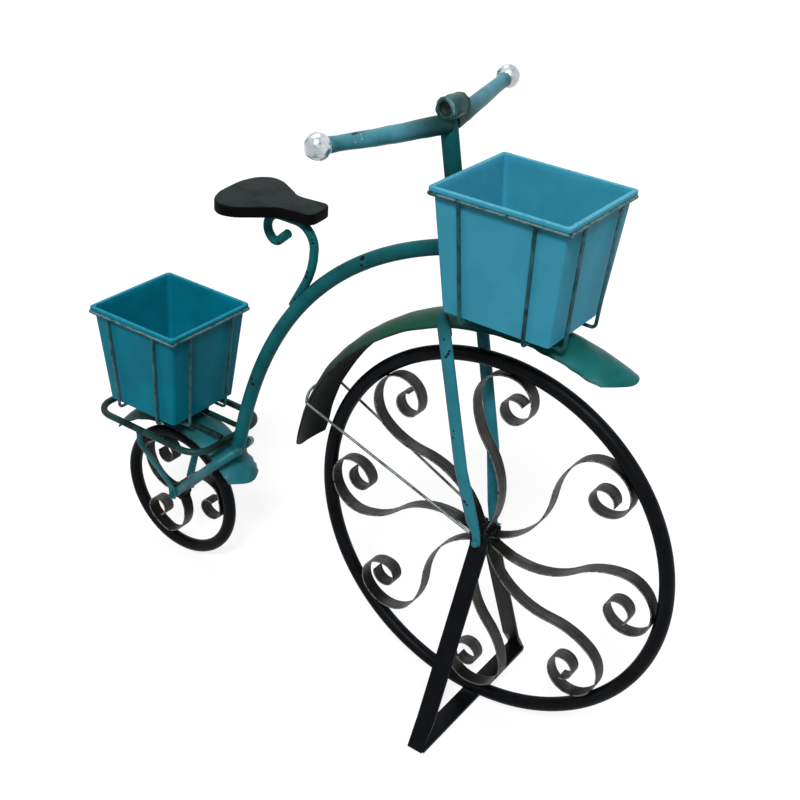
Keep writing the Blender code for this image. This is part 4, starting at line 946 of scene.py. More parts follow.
@dataclass
class StemAndBars:
    """The stem, the open sleeve on its top, and both halves of the handlebar with their balls."""

    stem_radius: float = 0.0105
    bar_height: float = 0.5165
    sleeve_rise: float = 0.0200
    sleeve_forward: float = 0.0080
    sleeve_radius: float = 0.0142
    sleeve_bore: float = 0.0066
    sleeve_half: float = 0.018
    lip_width: float = 0.0065
    top_below_sleeve: float = 0.010
    grip_reach: float = 0.190
    grip_sweep: float = 0.037
    grip_rise: float = 0.0085
    grip_sag: float = 0.0012
    grip_start: float = 0.004
    root_radius: float = 0.0118
    end_radius: float = 0.0083
    ball_radius: float = 0.0149

    def bar_root(self) -> Vector:
        """Where both halves of the handlebar meet on the stem's line."""
        return FRONT_AXLE + STEM_LINE * (self.bar_height / STEM_LINE.z)

    def sleeve_centre(self) -> Vector:
        """The middle of the open sleeve."""
        return self.bar_root() + STEM_LINE * (self.sleeve_rise / STEM_LINE.z) + Vector((self.sleeve_forward, 0, 0))

    def stem(self) -> bpy.types.Mesh:
        """The stem's tube, from the fender up into the bars."""
        foot = FRONT_AXLE + STEM_LINE * 0.3045
        top = self.bar_root() + STEM_LINE * ((self.sleeve_rise - self.top_below_sleeve) / STEM_LINE.z)
        path = [foot.lerp(top, i / 30) for i in range(31)]
        shares = [1.0] * 29 + [0.96, 0.70]
        return tube(path, self.stem_radius, shares, roundness=10)

    def sleeve(self) -> bpy.types.Mesh:
        """The sleeve: a short thick tube whose wall is rolled over into a lip at both ends."""
        outer, bore, half = self.sleeve_radius, self.sleeve_bore, self.sleeve_half
        roll = (outer - bore) / 2
        middle = (outer + bore) / 2
        waist = outer - 0.0011
        turn = [pi * i / 8 for i in range(9)]
        outline = [(middle + roll * cos(a), half - roll + roll * sin(a)) for a in turn]
        outline += [(bore + 0.0012, half - 2.2 * roll), (bore + 0.0012, 2.2 * roll - half)]
        outline += [(middle - roll * cos(a), -half + roll - roll * sin(a)) for a in turn]
        lip = self.lip_width
        outline += [(outer, lip - half), (waist, lip + 0.0018 - half), (outer - 0.0002, lip + 0.0042 - half),
                    (outer + 0.0003, 0.0), (waist, half - lip)]
        ring = spun(outline, 56, self.sleeve_centre())
        return uneven(ring, 0.006, 0.0010)

    def sleeve_lip_highlight(self, place: Vector) -> float:
        """The near lip carries a painted highlight on its upper front edge, in the light chip colour."""
        away = place - self.sleeve_centre()
        on_lip = away.y < 0.0022 - self.sleeve_half
        return 0.75 if on_lip and away.x + 0.8 * away.z > 0.010 else 0.0

    def sleeve_shade_and_dark_end(self, place: Vector) -> float:
        """The bore is painted black as shade, the far end is black too, and the rest is darkened a little."""
        away = place - self.sleeve_centre()
        inside = hypot(away.x, away.z) < self.sleeve_bore + 0.0016
        return 1.0 if inside or place.y > self.sleeve_half - 0.004 else 0.25

    def grip_darkening(self, place: Vector) -> float:
        """Each half of the handlebar darkens to green towards the sleeve."""
        return 0.65 * min(1.0, max(0.0, (0.120 - abs(place.y)) / 0.095))

    def grip(self, side: int) -> bpy.types.Mesh:
        """One half of the handlebar, tapering out to its ball."""
        root = self.bar_root() + Vector((0.0, side * self.grip_start, 0.0))
        ball = self.bar_root() + Vector((-self.grip_sweep, side * self.grip_reach, self.grip_rise))
        steps = 40
        path = [root.lerp(ball, i / steps) for i in range(steps + 1)]
        for index, spot in enumerate(path):
            spot.z -= self.grip_sag * sin(pi * index / steps)
        ratio = self.end_radius / self.root_radius
        shares = [1 + (ratio - 1) * i / steps for i in range(steps + 1)]
        for index, flare in ((35, 1.03), (36, 1.07), (37, 1.12)):
            shares[index] *= flare
        return uneven(tube(path, self.root_radius, shares, roundness=8), 0.02, 0.0005)

    def ball(self, side: int) -> bpy.types.Mesh:
        """A hammered steel ball with many small flats."""
        centre = self.bar_root() + Vector((-self.grip_sweep, side * self.grip_reach, self.grip_rise))
        bm = bmesh.new()
        bmesh.ops.create_icosphere(bm, subdivisions=5, radius=self.ball_radius,
                                   matrix=Matrix.Translation(centre))
        return uneven(mesh_of(bm), 0.006, 0.0007)

    def dress(self) -> None:
        """Build and finish the stem, sleeve, bars and balls."""
        add_piece("stem_tube", self.stem(), Finishes.TEAL, Body.FRAME, ["stem"])
        # The sleeve has a painted highlight on its near lip and painted shade in its bore.
        add_piece("stem_sleeve_ring", self.sleeve(), Finishes.SLEEVE, Body.FRAME, ["stem_sleeve"],
                  self.sleeve_lip_highlight, self.sleeve_shade_and_dark_end)
        for name, side in SIDES:
            add_piece(f"handlebar_{name}_tube", self.grip(side), Finishes.BARS, Body.FRAME,
                      [f"handlebar_{name}"], soot_and_shade=self.grip_darkening)
            add_piece(f"handlebar_{name}_ball", self.ball(side), Finishes.BARE, Body.FRAME,
                      [f"handlebar_ball_{name}"])
        beads = bmesh.new()
        foot = FRONT_AXLE + STEM_LINE * 0.3065
        bead_ring(beads, foot, STEM_LINE, self.stem_radius, 0.0022, 22, 2.0)
        add_piece("stem_welds", mesh_of(beads), Finishes.TEAL, Body.FRAME)


@dataclass
class Backbone:
    """The bent tube from the stem back and down to the rear fender."""

    radius: float = 0.0100
    head_reach: float = 0.384
    head_slope: float = radians(15.9)
    head_pull: float = 0.3228
    tail_x: float = -0.4243
    tail_z: float = -0.0685
    tail_lean: float = radians(17.3)
    tail_pull: float = 0.0618
    stem_radius: float = 0.0105

    def path(self) -> list[Vector]:
        """The middle line, from the stem's back to the rear fender."""
        head = FRONT_AXLE + STEM_LINE * self.head_reach
        tail = FRONT_AXLE + Vector((self.tail_x, 0.0, self.tail_z))
        pull = Vector((-cos(self.head_slope), 0.0, -sin(self.head_slope))) * self.head_pull
        lean = Vector((sin(self.tail_lean), 0.0, cos(self.tail_lean)))
        line = interpolate_bezier(head, head + pull, tail + lean * self.tail_pull, tail, 110)
        start = head - Vector((self.stem_radius * 0.6, 0.0, 0.0))
        return [point for point in line if point.x < start.x]

    def dress(self) -> None:
        """Build and finish the tube with its welds."""
        path = self.path()
        add_piece("backbone_bent_tube", tube(path, self.radius, roundness=9), Finishes.TEAL, Body.FRAME,
                  ["backbone_tube"])
        beads = bmesh.new()
        ahead = (path[0] - path[3]).normalized()
        bead_ring(beads, path[0] - ahead * 0.006, ahead, self.radius, 0.0021, 20, 5.0)
        add_piece("backbone_welds", mesh_of(beads), Finishes.TEAL, Body.FRAME)


@dataclass
class Seat:
    """The saddle board and the curled bar under it."""

    root_x: float = -0.32467
    root_z: float = 0.21897
    heading: float = radians(62)
    legs: tuple[float, ...] = (0.040, 0.0, 0.0265, 0.0, 0.020)
    bends: tuple[float, ...] = (0.1125, 0.0313, 0.0192, 0.0085, 0.0)
    turns: tuple[float, ...] = (radians(28), radians(90), radians(150), radians(73), 0.0)
    bar_radius: float = 0.006
    length: float = 0.1396
    half_width: float = 0.0608
    yaw: float = radians(7)
    thickness: float = 0.015
    nose_x: float = -0.2888
    length_shares: tuple[float, ...] = (0.0, 0.02, 0.06, 0.155, 0.295, 0.38, 0.44,
                                        0.555, 0.67, 0.79, 0.88, 0.94, 0.98, 1.0)
    width_shares: tuple[float, ...] = (0.20, 0.33, 0.39, 0.40, 0.40, 0.45, 0.56,
                                       0.76, 0.94, 1.0, 0.91, 0.76, 0.53, 0.28)

    def bar_path(self) -> list[Vector]:
        """The bar's middle line, up from the backbone, under the saddle and round into its curl."""
        root = FRONT_AXLE + Vector((self.root_x, 0.0, self.root_z))
        flat = arc_chain((root.x, root.z), self.heading, self.bends, self.turns, self.legs, radians(7))
        return [Vector((x, 0.0, z)) for x, z in flat]

    def board(self, underside: float) -> bpy.types.Mesh:
        """The saddle: a board with a soft edge above and a crisp one below."""
        middle = Vector((FRONT_AXLE.x + self.nose_x - self.length / 2, 0.0, underside))
        outline = [(self.length * (1 / 2 - a), self.half_width * b)
                   for a, b in zip(self.length_shares, self.width_shares)]
        outline += [(x, -y) for x, y in outline[::-1]]
        turn = Matrix.Rotation(self.yaw, 4, "Z")
        corners = [middle + turn @ Vector((x, y, 0.0)) for x, y in outline]
        count = len(corners)
        bm = bmesh.new()
        loop = []
        for i in range(count):
            before, here, there, after = (corners[(i + k) % count] for k in (-1, 0, 1, 2))
            loop += interpolate_bezier(here, here + (there - before) / 6, there - (after - here) / 6, there, 7)[:-1]
        face = bm.faces.new([bm.verts.new(point) for point in loop])
        raised = bmesh.ops.extrude_face_region(bm, geom=[face])["geom"]
        top = [v for v in raised if isinstance(v, bmesh.types.BMVert)]
        bmesh.ops.translate(bm, verts=top, vec=(0.0, 0.0, self.thickness))
        rims = [e for e in bm.edges if all(v in top for v in e.verts)]
        bmesh.ops.bevel(bm, geom=rims, offset=0.0022, segments=4, affect="EDGES", profile=0.5, material=-1)
        low = [e for e in bm.edges if all(abs(v.co.z - underside) < 1e-6 for v in e.verts)]
        bmesh.ops.bevel(bm, geom=low, offset=0.0008, segments=2, affect="EDGES", profile=0.5, material=-1)
        bmesh.ops.triangulate(bm, faces=[f for f in bm.faces if len(f.verts) > 4])
        return mesh_of(bm)

    def dress(self) -> None:
        """Build and finish the saddle and its bar."""
        path = self.bar_path()
        add_piece("seat_bar_curl", tube(path, self.bar_radius, roundness=7), Finishes.TEAL, Body.FRAME,
                  ["seat_bar"])
        top = max(point.z for point in path) + self.bar_radius + FIT_GAP
        # The board's sides below its top edge are painted near black as shade, so that only its top looks lit.
        add_piece("saddle_top", self.board(top), Finishes.SADDLE, Body.FRAME, ["saddle"],
                  soot_and_shade=lambda place: 1.0 if place.z < top + self.thickness - 0.0010 else 0.0)


@dataclass
class Stand:
    """Two flat legs on the front axle's bolt and the bar on the ground between their feet."""

    bar_width: float = 0.025
    bar_thickness: float = 0.005
    foot_thickness: float = 0.006
    foot_forward: float = 0.005
    foot_half: float = 0.135
    leg_y: float = 0.015
    top_run: float = 0.012
    top_above: float = 0.010
    knee_rise: float = 0.040
    knee_in: tuple[float, float] = (0.0205, 0.0256)
    end_round: float = 0.005

    def leg(self, side: int) -> bpy.types.Mesh:
        """One leg of flat bar, bent out below the bolt and again above its rounded foot."""
        top = Vector((FRONT_AXLE.x, side * self.leg_y, FRONT_AXLE.z + self.top_above))
        bend = Vector((FRONT_AXLE.x, side * self.leg_y, FRONT_AXLE.z - self.top_run))
        foot_y = self.foot_half - self.bar_thickness * 0.6
        x = FRONT_AXLE.x + self.foot_forward
        knee = Vector((x, side * (foot_y - self.knee_in[side > 0]), self.knee_rise))
        foot = Vector((x, side * foot_y, self.bar_thickness * 0.25))
        path = filleted([top, bend, knee, foot], 0.012, steps=8)
        mesh = strip(path, Vector((self.bar_width, 0.0, 0.0)), self.bar_thickness, 0.0008)
        for vertex in mesh.vertices:
            low = 1 - min(1.0, (vertex.co.z - foot.z) / self.end_round)
            if low > 0:
                across = (vertex.co.x - x) / (self.bar_width / 2)
                vertex.co.x -= across * abs(across) * low ** 2 * self.end_round * 0.45
        mesh.update()
        return mesh

    def foot(self) -> bpy.types.Mesh:
        """The bar on the ground between the legs, its edges broken."""
        bm = bmesh.new()
        centre = Vector((FRONT_AXLE.x + self.foot_forward, 0.0, self.foot_thickness / 2))
        size = (self.bar_width, 2 * (self.foot_half - self.bar_thickness), self.foot_thickness, 1.0)
        bmesh.ops.create_cube(bm, size=1.0, matrix=Matrix.Translation(centre) @ Matrix.Diagonal(size))
        bmesh.ops.bevel(bm, geom=bm.edges[:], offset=0.0009, segments=3, affect="EDGES", profile=0.5,
                        material=-1)
        return mesh_of(bm)

    def dress(self) -> None:
        """Build and finish the stand."""
        beads = bmesh.new()
        for name, side in SIDES:
            add_piece(f"stand_leg_{name}_bar", self.leg(side), Finishes.BLACK, Body.FRAME,
                      [f"stand_leg_{name}"])
            for index in range(8):
                x = FRONT_AXLE.x + self.foot_forward + (index - 3.5) * 0.0031
                spot = Vector((x, side * (self.foot_half - 0.0085), self.foot_thickness + 0.0012))
                lump(beads, spot, Vector((0.0021, 0.0024, 0.0018)), index * 1.3 + side)
        add_piece("stand_foot", self.foot(), Finishes.BLACK, Body.FRAME, ["stand_foot_bar"])
        add_piece("stand_welds", mesh_of(beads), Finishes.BLACK, Body.FRAME)


@dataclass
class AxleBolt:
    """The bolt through one hub, with its washer-faced head and its nut."""

    end: str
    axle: Vector
    stack: float
    finish: Finish
    radius: float = 0.003
    head_radius: float = 0.0047
    head_height: float = 0.004
    nut_height: float = 0.005
    tail: float = 0.002

    def hexagon(self, start: float, height: float, bored: bool) -> bpy.types.Mesh:
        """A six-sided head or nut with its corners turned down."""
        bm = bmesh.new()
        middle = self.axle + Vector((0.0, start + height / 2, 0.0))
        bmesh.ops.create_cone(bm, cap_ends=not bored, segments=6, radius1=self.head_radius,
                              radius2=self.head_radius, depth=height,
                              matrix=Matrix.Translation(middle) @ Matrix.Rotation(pi / 2, 4, "X"))
        if bored:
            outer = [e for e in bm.edges if e.is_boundary]
            made = bmesh.ops.create_cone(bm, cap_ends=False, segments=24, radius1=0.0033, radius2=0.0033,
                                         depth=height,
                                         matrix=Matrix.Translation(middle) @ Matrix.Rotation(pi / 2, 4, "X"))
            inner = [e for e in bm.edges if e.is_boundary and e not in outer]
            for end_y in (start, start + height):
                level = self.axle.y + end_y
                rims = [e for e in outer + inner if abs(e.verts[0].co.y - level) < 1e-5
                        and abs(e.verts[1].co.y - level) < 1e-5]
                bmesh.ops.bridge_loops(bm, edges=rims)
        corners = [e for e in bm.edges if e.calc_length() > self.head_radius * 0.9
                   and abs(e.verts[0].co.y - e.verts[1].co.y) < 1e-5]
        bmesh.ops.bevel(bm, geom=corners, offset=0.0005, segments=2, affect="EDGES", profile=0.5, material=-1)
        return mesh_of(bm)

    def bolt(self) -> bpy.types.Mesh:
        """The head, and the shank with the thread's ridges on its free end."""
        bm = bmesh.new()
        bm.from_mesh(self.hexagon(-self.stack - self.head_height, self.head_height, False))
        start, end = -self.stack - 0.001, self.stack + self.nut_height + self.tail
        path, shares = [], []
        ridges = 26
        plain = self.stack - 0.002
        path += [self.axle + Vector((0.0, start, 0.0)), self.axle + Vector((0.0, plain, 0.0))]
        shares += [1.0, 1.0]
        for index in range(1, ridges + 1):
            path.append(self.axle + Vector((0.0, plain + (end - plain) * index / ridges, 0.0)))
            shares.append(0.88 if index % 2 else 1.0)
        shares[-1] = 0.8
        bm.from_mesh(tube(path, self.radius, shares, roundness=4))
        return mesh_of(bm)

    def dress(self) -> None:
        """Build and finish the bolt and its nut."""
        add_piece(f"{self.end}_bolt", self.bolt(), self.finish, Body.FRAME, [f"{self.end}_axle_bolt"])
        add_piece(f"{self.end}_nut", self.hexagon(self.stack, self.nut_height, True), self.finish,
                  Body.FRAME, [f"{self.end}_axle_nut"])


@dataclass
class StayWire:
    """The wire from the stand's top up round the back of the front fender and down again."""

    fender: Fender
    radius: float = 0.0019
    angle: float = radians(158)
    bend: float = 0.003
    y: float = 0.0197
    root_back: float = 0.0112
    root_rise: float = 0.0078

    def off_sheet(self, share: float, lift: float) -> Vector:
        """A point at a height square off the fender's outside."""
        drop = self.fender.depth * self.fender.tip(self.angle, self.fender.tip_depth_share)
        width = self.fender.half_width * self.fender.tip(self.angle, self.fender.tip_width_share)
        slope = 2 * drop * share / width
        spot = self.fender.place(self.angle, share, lift / hypot(1.0, slope))
        spot.y += lift * slope / hypot(1.0, slope)
        return spot

    def path(self) -> list[Vector]:
        """The wire's middle line."""
        lift = FIT_GAP + self.radius
        half = [FRONT_AXLE + Vector((-self.root_back, self.y, self.root_rise))]
        corner = self.fender.place(self.angle, 1.0, lift / 2) + Vector((0.0, lift + FIT_GAP, 0.0))
        wrap = [self.off_sheet(1 - i / 16, lift + FIT_GAP) for i in range(2, 17)]
        half += filleted([half[-1], corner, wrap[0]], self.bend, steps=7)[1:] + wrap[1:]
        return half + [Vector((p.x, -p.y, p.z)) for p in half[-2::-1]]

    def dress(self) -> None:
        """Build and finish the wire."""
        path = self.path()
        add_piece("stay_wire", tube(path, self.radius, roundness=4), Finishes.WIRE, Body.FRAME,
                  ["fender_stay_wire"])
        beads = bmesh.new()
        for tip in (path[0], path[-1]):
            lump(beads, tip, Vector((0.0030, 0.0020, 0.0032)), tip.y * 40)
        add_piece("stay_wire_welds", mesh_of(beads), Finishes.BLACK, Body.FRAME)


@dataclass
class Pot:
    """A square tapered pot with a rolled lip, drawn from thin sheet."""

    end: str
    top: tuple[float, float]
    bottom: tuple[float, float]
    body: Body
    finish: Finish
    height: float = 0.150
    wall: float = 0.0012
    overhang: float = 0.0045
    lip: float = 0.0055
    fold: float = 0.0012
    corner: float = 0.004
    low_shift: float = 0.0

    def __post_init__(self) -> None:
        """Find the pot's middle and floor from its node."""
        low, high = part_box(f"{self.end}_pot")
        self.centre_x = (low[0] + high[0]) / 2
        self.floor = low[2]

    def ring(self, half: Vector, z: float) -> list[Vector]:
        """The corners of one level, rounded."""
        middle = self.centre_x + self.low_shift * (1 - (z - self.floor) / self.height)
        spots = [Vector((middle + a * half.x, b * half.y, z)) for a, b in ((1, 1), (-1, 1), (-1, -1), (1, -1))]
        return filleted(spots, self.corner, steps=6, closed=True)

    def shell(self) -> bpy.types.Mesh:
        """The pot's wall, floor and lip in one sheet."""
        low, rim = Vector(self.bottom) / 2, Vector(self.top) / 2
        over = Vector((self.overhang, self.overhang))
        wall = Vector((self.wall, self.wall))
        wall_top = rim - over
        top = self.floor + self.height
        under = top - self.lip
        steps = 18
        levels = [(low - wall * 1.2, self.floor), (low, self.floor + 0.001)]
        levels += [(low.lerp(wall_top, i / steps), self.floor + (under - self.floor) * i / steps)
                   for i in range(1, steps + 1)]
        fold = self.fold
        for turn_middle, quarter in ((under + fold, -1), (top - fold, 0)):
            for i in range(5):
                turn = pi / 2 * (quarter + i / 4)
                levels.append((rim - Vector((fold, fold)) * (1 - cos(turn)), turn_middle + fold * sin(turn)))
        inside_top = wall_top - wall
        levels += [(inside_top + Vector((0.0006, 0.0006)), top - 0.0002), (inside_top, top - 0.0012)]
        levels += [((low - wall).lerp(inside_top, 1 - i / steps), top - (self.height - self.wall) * i / steps)
                   for i in range(1, steps + 1)]
        bm = bmesh.new()
        points = self.ring(*levels[0])
        ring = [bm.verts.new(point) for point in points]
        edges = [bm.edges.new((ring[i - 1], ring[i])) for i in range(len(ring))]
        bmesh.ops.contextual_create(bm, geom=edges)
        for half, z in levels[1:]:
            pulled = bmesh.ops.extrude_edge_only(bm, edges=edges)["geom"]
            raised = {v for v in pulled if isinstance(v, bmesh.types.BMVert)}
            edges = [e for e in pulled if isinstance(e, bmesh.types.BMEdge) and raised.issuperset(e.verts)]
            ring = [next(e.other_vert(v) for e in v.link_edges if e.other_vert(v) in raised) for v in ring]
            for vertex, point in zip(ring, self.ring(half, z)):
                vertex.co = point
        bmesh.ops.contextual_create(bm, geom=edges)
        return mesh_of(bm)

    def lip_highlight(self, place: Vector) -> float:
        """The lip's top carries a painted highlight in a lighter blue."""
        return 0.6 if place.z > self.floor + self.height - 0.0010 else 0.0

    def dress(self) -> None:
        """Build and finish the pot."""
        add_piece(f"{self.end}_pot_shell", self.shell(), self.finish, self.body, [f"{self.end}_pot"],
                  self.lip_highlight)


@dataclass
class Basket:
    """A wire ring under the pot's lip and four bent wires that cross under the pot."""

    pot: Pot
    across_below: bool
    wire: float = 0.00225
    ring_clearance: float = 0.0015
    low_clearance: float = 0.0045
    floor_clearance: float = 0.0015
    corner: float = 0.006
    hoop_corner: float = 0.0035
    loose_end: float = 0.004
    top_spread: float = 0.27
    low_spread: float = 0.295

    def __post_init__(self) -> None:
        """Work out the ring's half size and height from the pot."""
        clear = self.ring_clearance + self.wire
        self.ring_half = Vector(self.pot.top) / 2 - Vector((self.pot.overhang, self.pot.overhang))
        self.ring_half += Vector((clear, clear))
        self.ring_z = self.pot.floor + self.pot.height - self.pot.lip - FIT_GAP - self.wire

    def ring(self) -> bpy.types.Mesh:
        """The ring under the lip, its two ends meeting at the right front corner."""
        corners = [Vector((self.pot.centre_x + a * self.ring_half.x, b * self.ring_half.y, self.ring_z))
                   for a, b in ((1, -1), (1, 1), (-1, 1), (-1, -1), (1, -1))]
        corners[0].y += 2 * self.wire + FIT_GAP
        corners[-1].x += self.loose_end
        return tube(filleted(corners, self.hoop_corner, steps=8), self.wire, roundness=4)

    def wires(self) -> list[list[Vector]]:
        """The four wires' middle lines."""
        top_z = self.ring_z - self.wire - FIT_GAP
        low_half = Vector(self.pot.bottom) / 2 + Vector((self.low_clearance + self.wire,) * 2)
        upper = self.pot.floor - self.floor_clearance - self.wire
        lower = upper - 2 * self.wire - FIT_GAP
        paths = []
        for across in (True, False):
            low_z = lower if across == self.across_below else upper
            reach_axis, spread_axis = (1, 0) if across else (0, 1)
            for side in (-1, 1):
                top = (self.ring_half[reach_axis], side * self.top_spread * self.pot.top[spread_axis], top_z)
                low = (low_half[reach_axis], side * self.low_spread * self.pot.bottom[spread_axis], low_z)
                bends = []
                for way, (reach, beside, z) in ((1, top), (1, low), (-1, low), (-1, top)):
                    x, y = (beside, way * reach) if across else (way * reach, beside)
                    x += self.pot.low_shift if z == low_z else 0.0
                    bends.append(Vector((self.pot.centre_x + x, y, z)))
                paths.append(filleted(bends, self.corner, steps=9))
        return paths

    def dress(self) -> None:
        """Build and finish the basket with its small welds."""
        end = self.pot.end
        add_piece(f"{end}_basket_hoop", self.ring(), Finishes.WIRES, Body.FRAME, [f"{end}_basket_ring"],
                  self.hoop_top_highlight)
        beads = bmesh.new()
        for number, path in enumerate(self.wires(), 1):
            add_piece(f"{end}_basket_bent_wire_{number}", tube(path, self.wire, roundness=4), Finishes.WIRES,
                      Body.FRAME, [f"{end}_basket_wire_{number}"], self.side_wear)
            for tip in (path[0], path[-1]):
                lump(beads, tip + Vector((0.0, 0.0, 0.0008)), Vector((0.0027, 0.0027, 0.0022)), number + tip.x)
        add_piece(f"{end}_basket_welds", mesh_of(beads), Finishes.WIRES, Body.FRAME)

    def hoop_top_highlight(self, place: Vector) -> float:
        """The hoop's upper half carries a painted highlight under the lip, broken into chips."""
        return 0.8 if place.z > self.ring_z + 0.1 * self.wire else 0.0

    def side_wear(self, place: Vector) -> float:
        """The wires are rubbed here and there."""
        return min(0.7, 1.4 * max(0.0, noise.noise(place * 30.0) - 0.1))


@dataclass
class Rack:
    """The ring of bar behind the backbone, its two rails, and the thin bars down to the axle."""

    length: float = 0.2045
    half_width: float = 0.0720
    front_x: float = -0.4325
    corner: float = 0.032
    bar: float = 0.005
    rail: float = 0.004
    rail_spacing: float = 0.019
    stay_radius: float = 0.0042
    stay_thickness: float = 0.003
    stay_back: float = 0.0125
    stay_top_run: float = 0.016
    stay_bend: float = 0.020
    eye_share: float = 1.75
    eye_flat: float = 0.013
    eye_end: float = 0.0075
    stay_y: float = 0.0203

    def __post_init__(self) -> None:
        """Find the ring's height from its node."""
        low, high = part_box("rack_ring")
        self.z = (low[2] + high[2]) / 2

    def ring(self) -> bpy.types.Mesh:
        """The rounded ring, open where the backbone passes."""
        front = FRONT_AXLE.x + self.front_x
        back = front - self.length
        half = self.half_width
        corners = [Vector((x, y, self.z)) for x, y in ((front, half), (back, half), (back, -half), (front, -half))]
        return tube(filleted(corners, self.corner, steps=14, closed=True), self.bar, closed=True, roundness=6)

    def rails(self) -> list[bpy.types.Mesh]:
        """Both rails, right and left."""
        front = FRONT_AXLE.x + self.front_x
        z = self.z + self.bar + FIT_GAP + self.rail
        meshes = []
        for _, side in SIDES:
            y = side * self.rail_spacing
            path = [Vector((front - self.length * i / 20, y, z)) for i in range(21)]
            shares = [0.8] + [1.0] * 19 + [0.8]
            meshes.append(tube(path, self.rail, shares, roundness=5))
        return meshes

    def stay(self, side: int) -> bpy.types.Mesh:
        """One thin bar, hammered flat round the axle's bolt."""
        flat = REAR_AXLE + Vector((0.0, side * self.stay_y, 0.0))
        top = self.z - self.bar - FIT_GAP
        hang = Vector((REAR_AXLE.x - self.stay_back, side * self.half_width, top))
        bend = hang - Vector((0.0, 0.0, self.stay_top_run))
        up = Vector((bend.x - flat.x, 0.0, bend.z - flat.z)).normalized()
        path = filleted([hang, bend, flat + up * self.eye_flat], self.stay_bend, steps=12)
        path += [flat, flat - up * self.eye_end * 0.6, flat - up * self.eye_end]
        wide = self.eye_share
        shares = [1.0] * (len(path) - 5) + [1.0, wide, wide, wide * 0.85, wide * 0.6]
        mesh = tube(path, self.stay_radius, shares, roundness=5)
        flatten(mesh, flat, self.eye_flat, self.stay_thickness, 2 * self.stay_radius * wide)
        return mesh

    def dress(self) -> None:
        """Build and finish the rack."""
        add_piece("rack_ring_bar", self.ring(), Finishes.GREEN, Body.FRAME, ["rack_ring"])
        beads = bmesh.new()
        front = FRONT_AXLE.x + self.front_x
        for (name, side), mesh in zip(SIDES, self.rails()):
            add_piece(f"rack_rail_{name}_bar", mesh, Finishes.GREEN, Body.FRAME, [f"rack_rail_{name}"])
            add_piece(f"rack_stay_{name}_bar", self.stay(side), Finishes.RACK_STAYS, Body.FRAME,
                      [f"rack_stay_{name}"])
            for x in (front, front - self.length):
                spot = Vector((x, side * self.rail_spacing, self.z + self.bar * 0.9))
                lump(beads, spot, Vector((0.0042, 0.0048, 0.0020)), x + side)
            hang = Vector((REAR_AXLE.x - self.stay_back, side * self.half_width, self.z - self.bar * 0.95))
            lump(beads, hang, Vector((0.0050, 0.0050, 0.0016)), side * 2.0)
        add_piece("rack_welds", mesh_of(beads), Finishes.GREEN, Body.FRAME)


@dataclass
class RearStays:
    """The two tubes from the backbone's foot down to the rear axle."""

    tops: tuple[tuple[float, float], ...] = ((0.1245, 0.1280), (0.1150, 0.1255))
    radius: float = 0.007
    backbone_radius: float = 0.0100
    fender_half: float = 0.0335
    clearance: float = 0.003
    bow_share: float = 0.87
    bend: float = 0.014
    eye_y: float = 0.015
    eye_run: float = 0.034
    eye_flat: float = 0.013
    eye_thickness: float = 0.007
    eye_end: float = 0.0075

    def stay(self, side: int, top_x: float, top_z: float) -> bpy.types.Mesh:
        """One tube, bowed out round the fender and pressed flat round the bolt."""
        eye = REAR_AXLE + Vector((0.0, side * self.eye_y, 0.0))
        top = REAR_AXLE + Vector((top_x, side * (self.backbone_radius + FIT_GAP + self.radius), top_z))
        bow = eye.lerp(top, self.bow_share)
        bow.y = side * (self.fender_half + self.clearance + self.radius)
        line = (bow - eye).normalized()
        level = Vector((line.x, 0.0, line.z)).normalized()
        path = filleted([top, bow, eye + line * self.eye_run], self.bend, steps=14)
        path += [eye + level * self.eye_flat, eye, eye - line * self.eye_end * 0.6, eye - line * self.eye_end]
        shares = [1.0] * (len(path) - 2) + [0.86, 0.6]
        mesh = tube(path, self.radius, shares, roundness=7)
        flatten(mesh, eye, self.eye_flat, self.eye_thickness, 2 * self.radius)
        return mesh

    def dress(self) -> None:
        """Build and finish both tubes, with the rounded weld where each leaves the backbone."""
        beads = bmesh.new()
        for (name, side), (top_x, top_z) in zip(SIDES, self.tops):
            add_piece(f"rear_stay_{name}_tube", self.stay(side, top_x, top_z), Finishes.STAYS, Body.FRAME,
                      [f"rear_stay_{name}"])
            spot = REAR_AXLE + Vector((top_x + 0.001, side * (self.backbone_radius + self.radius * 0.6), top_z))
            lump(beads, spot, Vector((0.0078, 0.0074, 0.0076)), side * 1.5)
        add_piece("rear_stay_welds", mesh_of(beads), Finishes.STAYS, Body.FRAME)


@dataclass(frozen=True)
class Viewpoint:
    """The camera, from the front axle in wheel radii, with its angles in radians."""

    wheel_radius: float = 0.25
    place: tuple[float, float, float] = (2.457, -4.721, 3.804)
    yaw: float = 2.143
    pitch: float = -0.522
    roll: float = 0.078
    focal_px: float = 1265.144
    frame_px: float = 800.0
    sensor_mm: float = 36.0

    def set_up(self) -> None:
        """Make the camera and give it to the scene."""
        ahead = Vector((cos(self.yaw) * cos(self.pitch), sin(self.yaw) * cos(self.pitch), sin(self.pitch)))
        right = ahead.cross(Vector((0.0, 0.0, 1.0))).normalized()
        up = right.cross(ahead)
        tilted = cos(self.roll) * right + sin(self.roll) * up
        upward = -sin(self.roll) * right + cos(self.roll) * up
        camera = bpy.data.cameras.new("camera")
        camera.sensor_width = self.sensor_mm
        camera.lens = self.focal_px / self.frame_px * self.sensor_mm
        holder = bpy.data.objects.new("camera", camera)
        turn = Matrix((tilted, upward, -ahead)).transposed().to_4x4()
        eye = FRONT_AXLE + Vector(self.place) * self.wheel_radius
        holder.matrix_world = Matrix.Translation(eye) @ turn
        bpy.context.scene.collection.objects.link(holder)
        bpy.context.scene.camera = holder


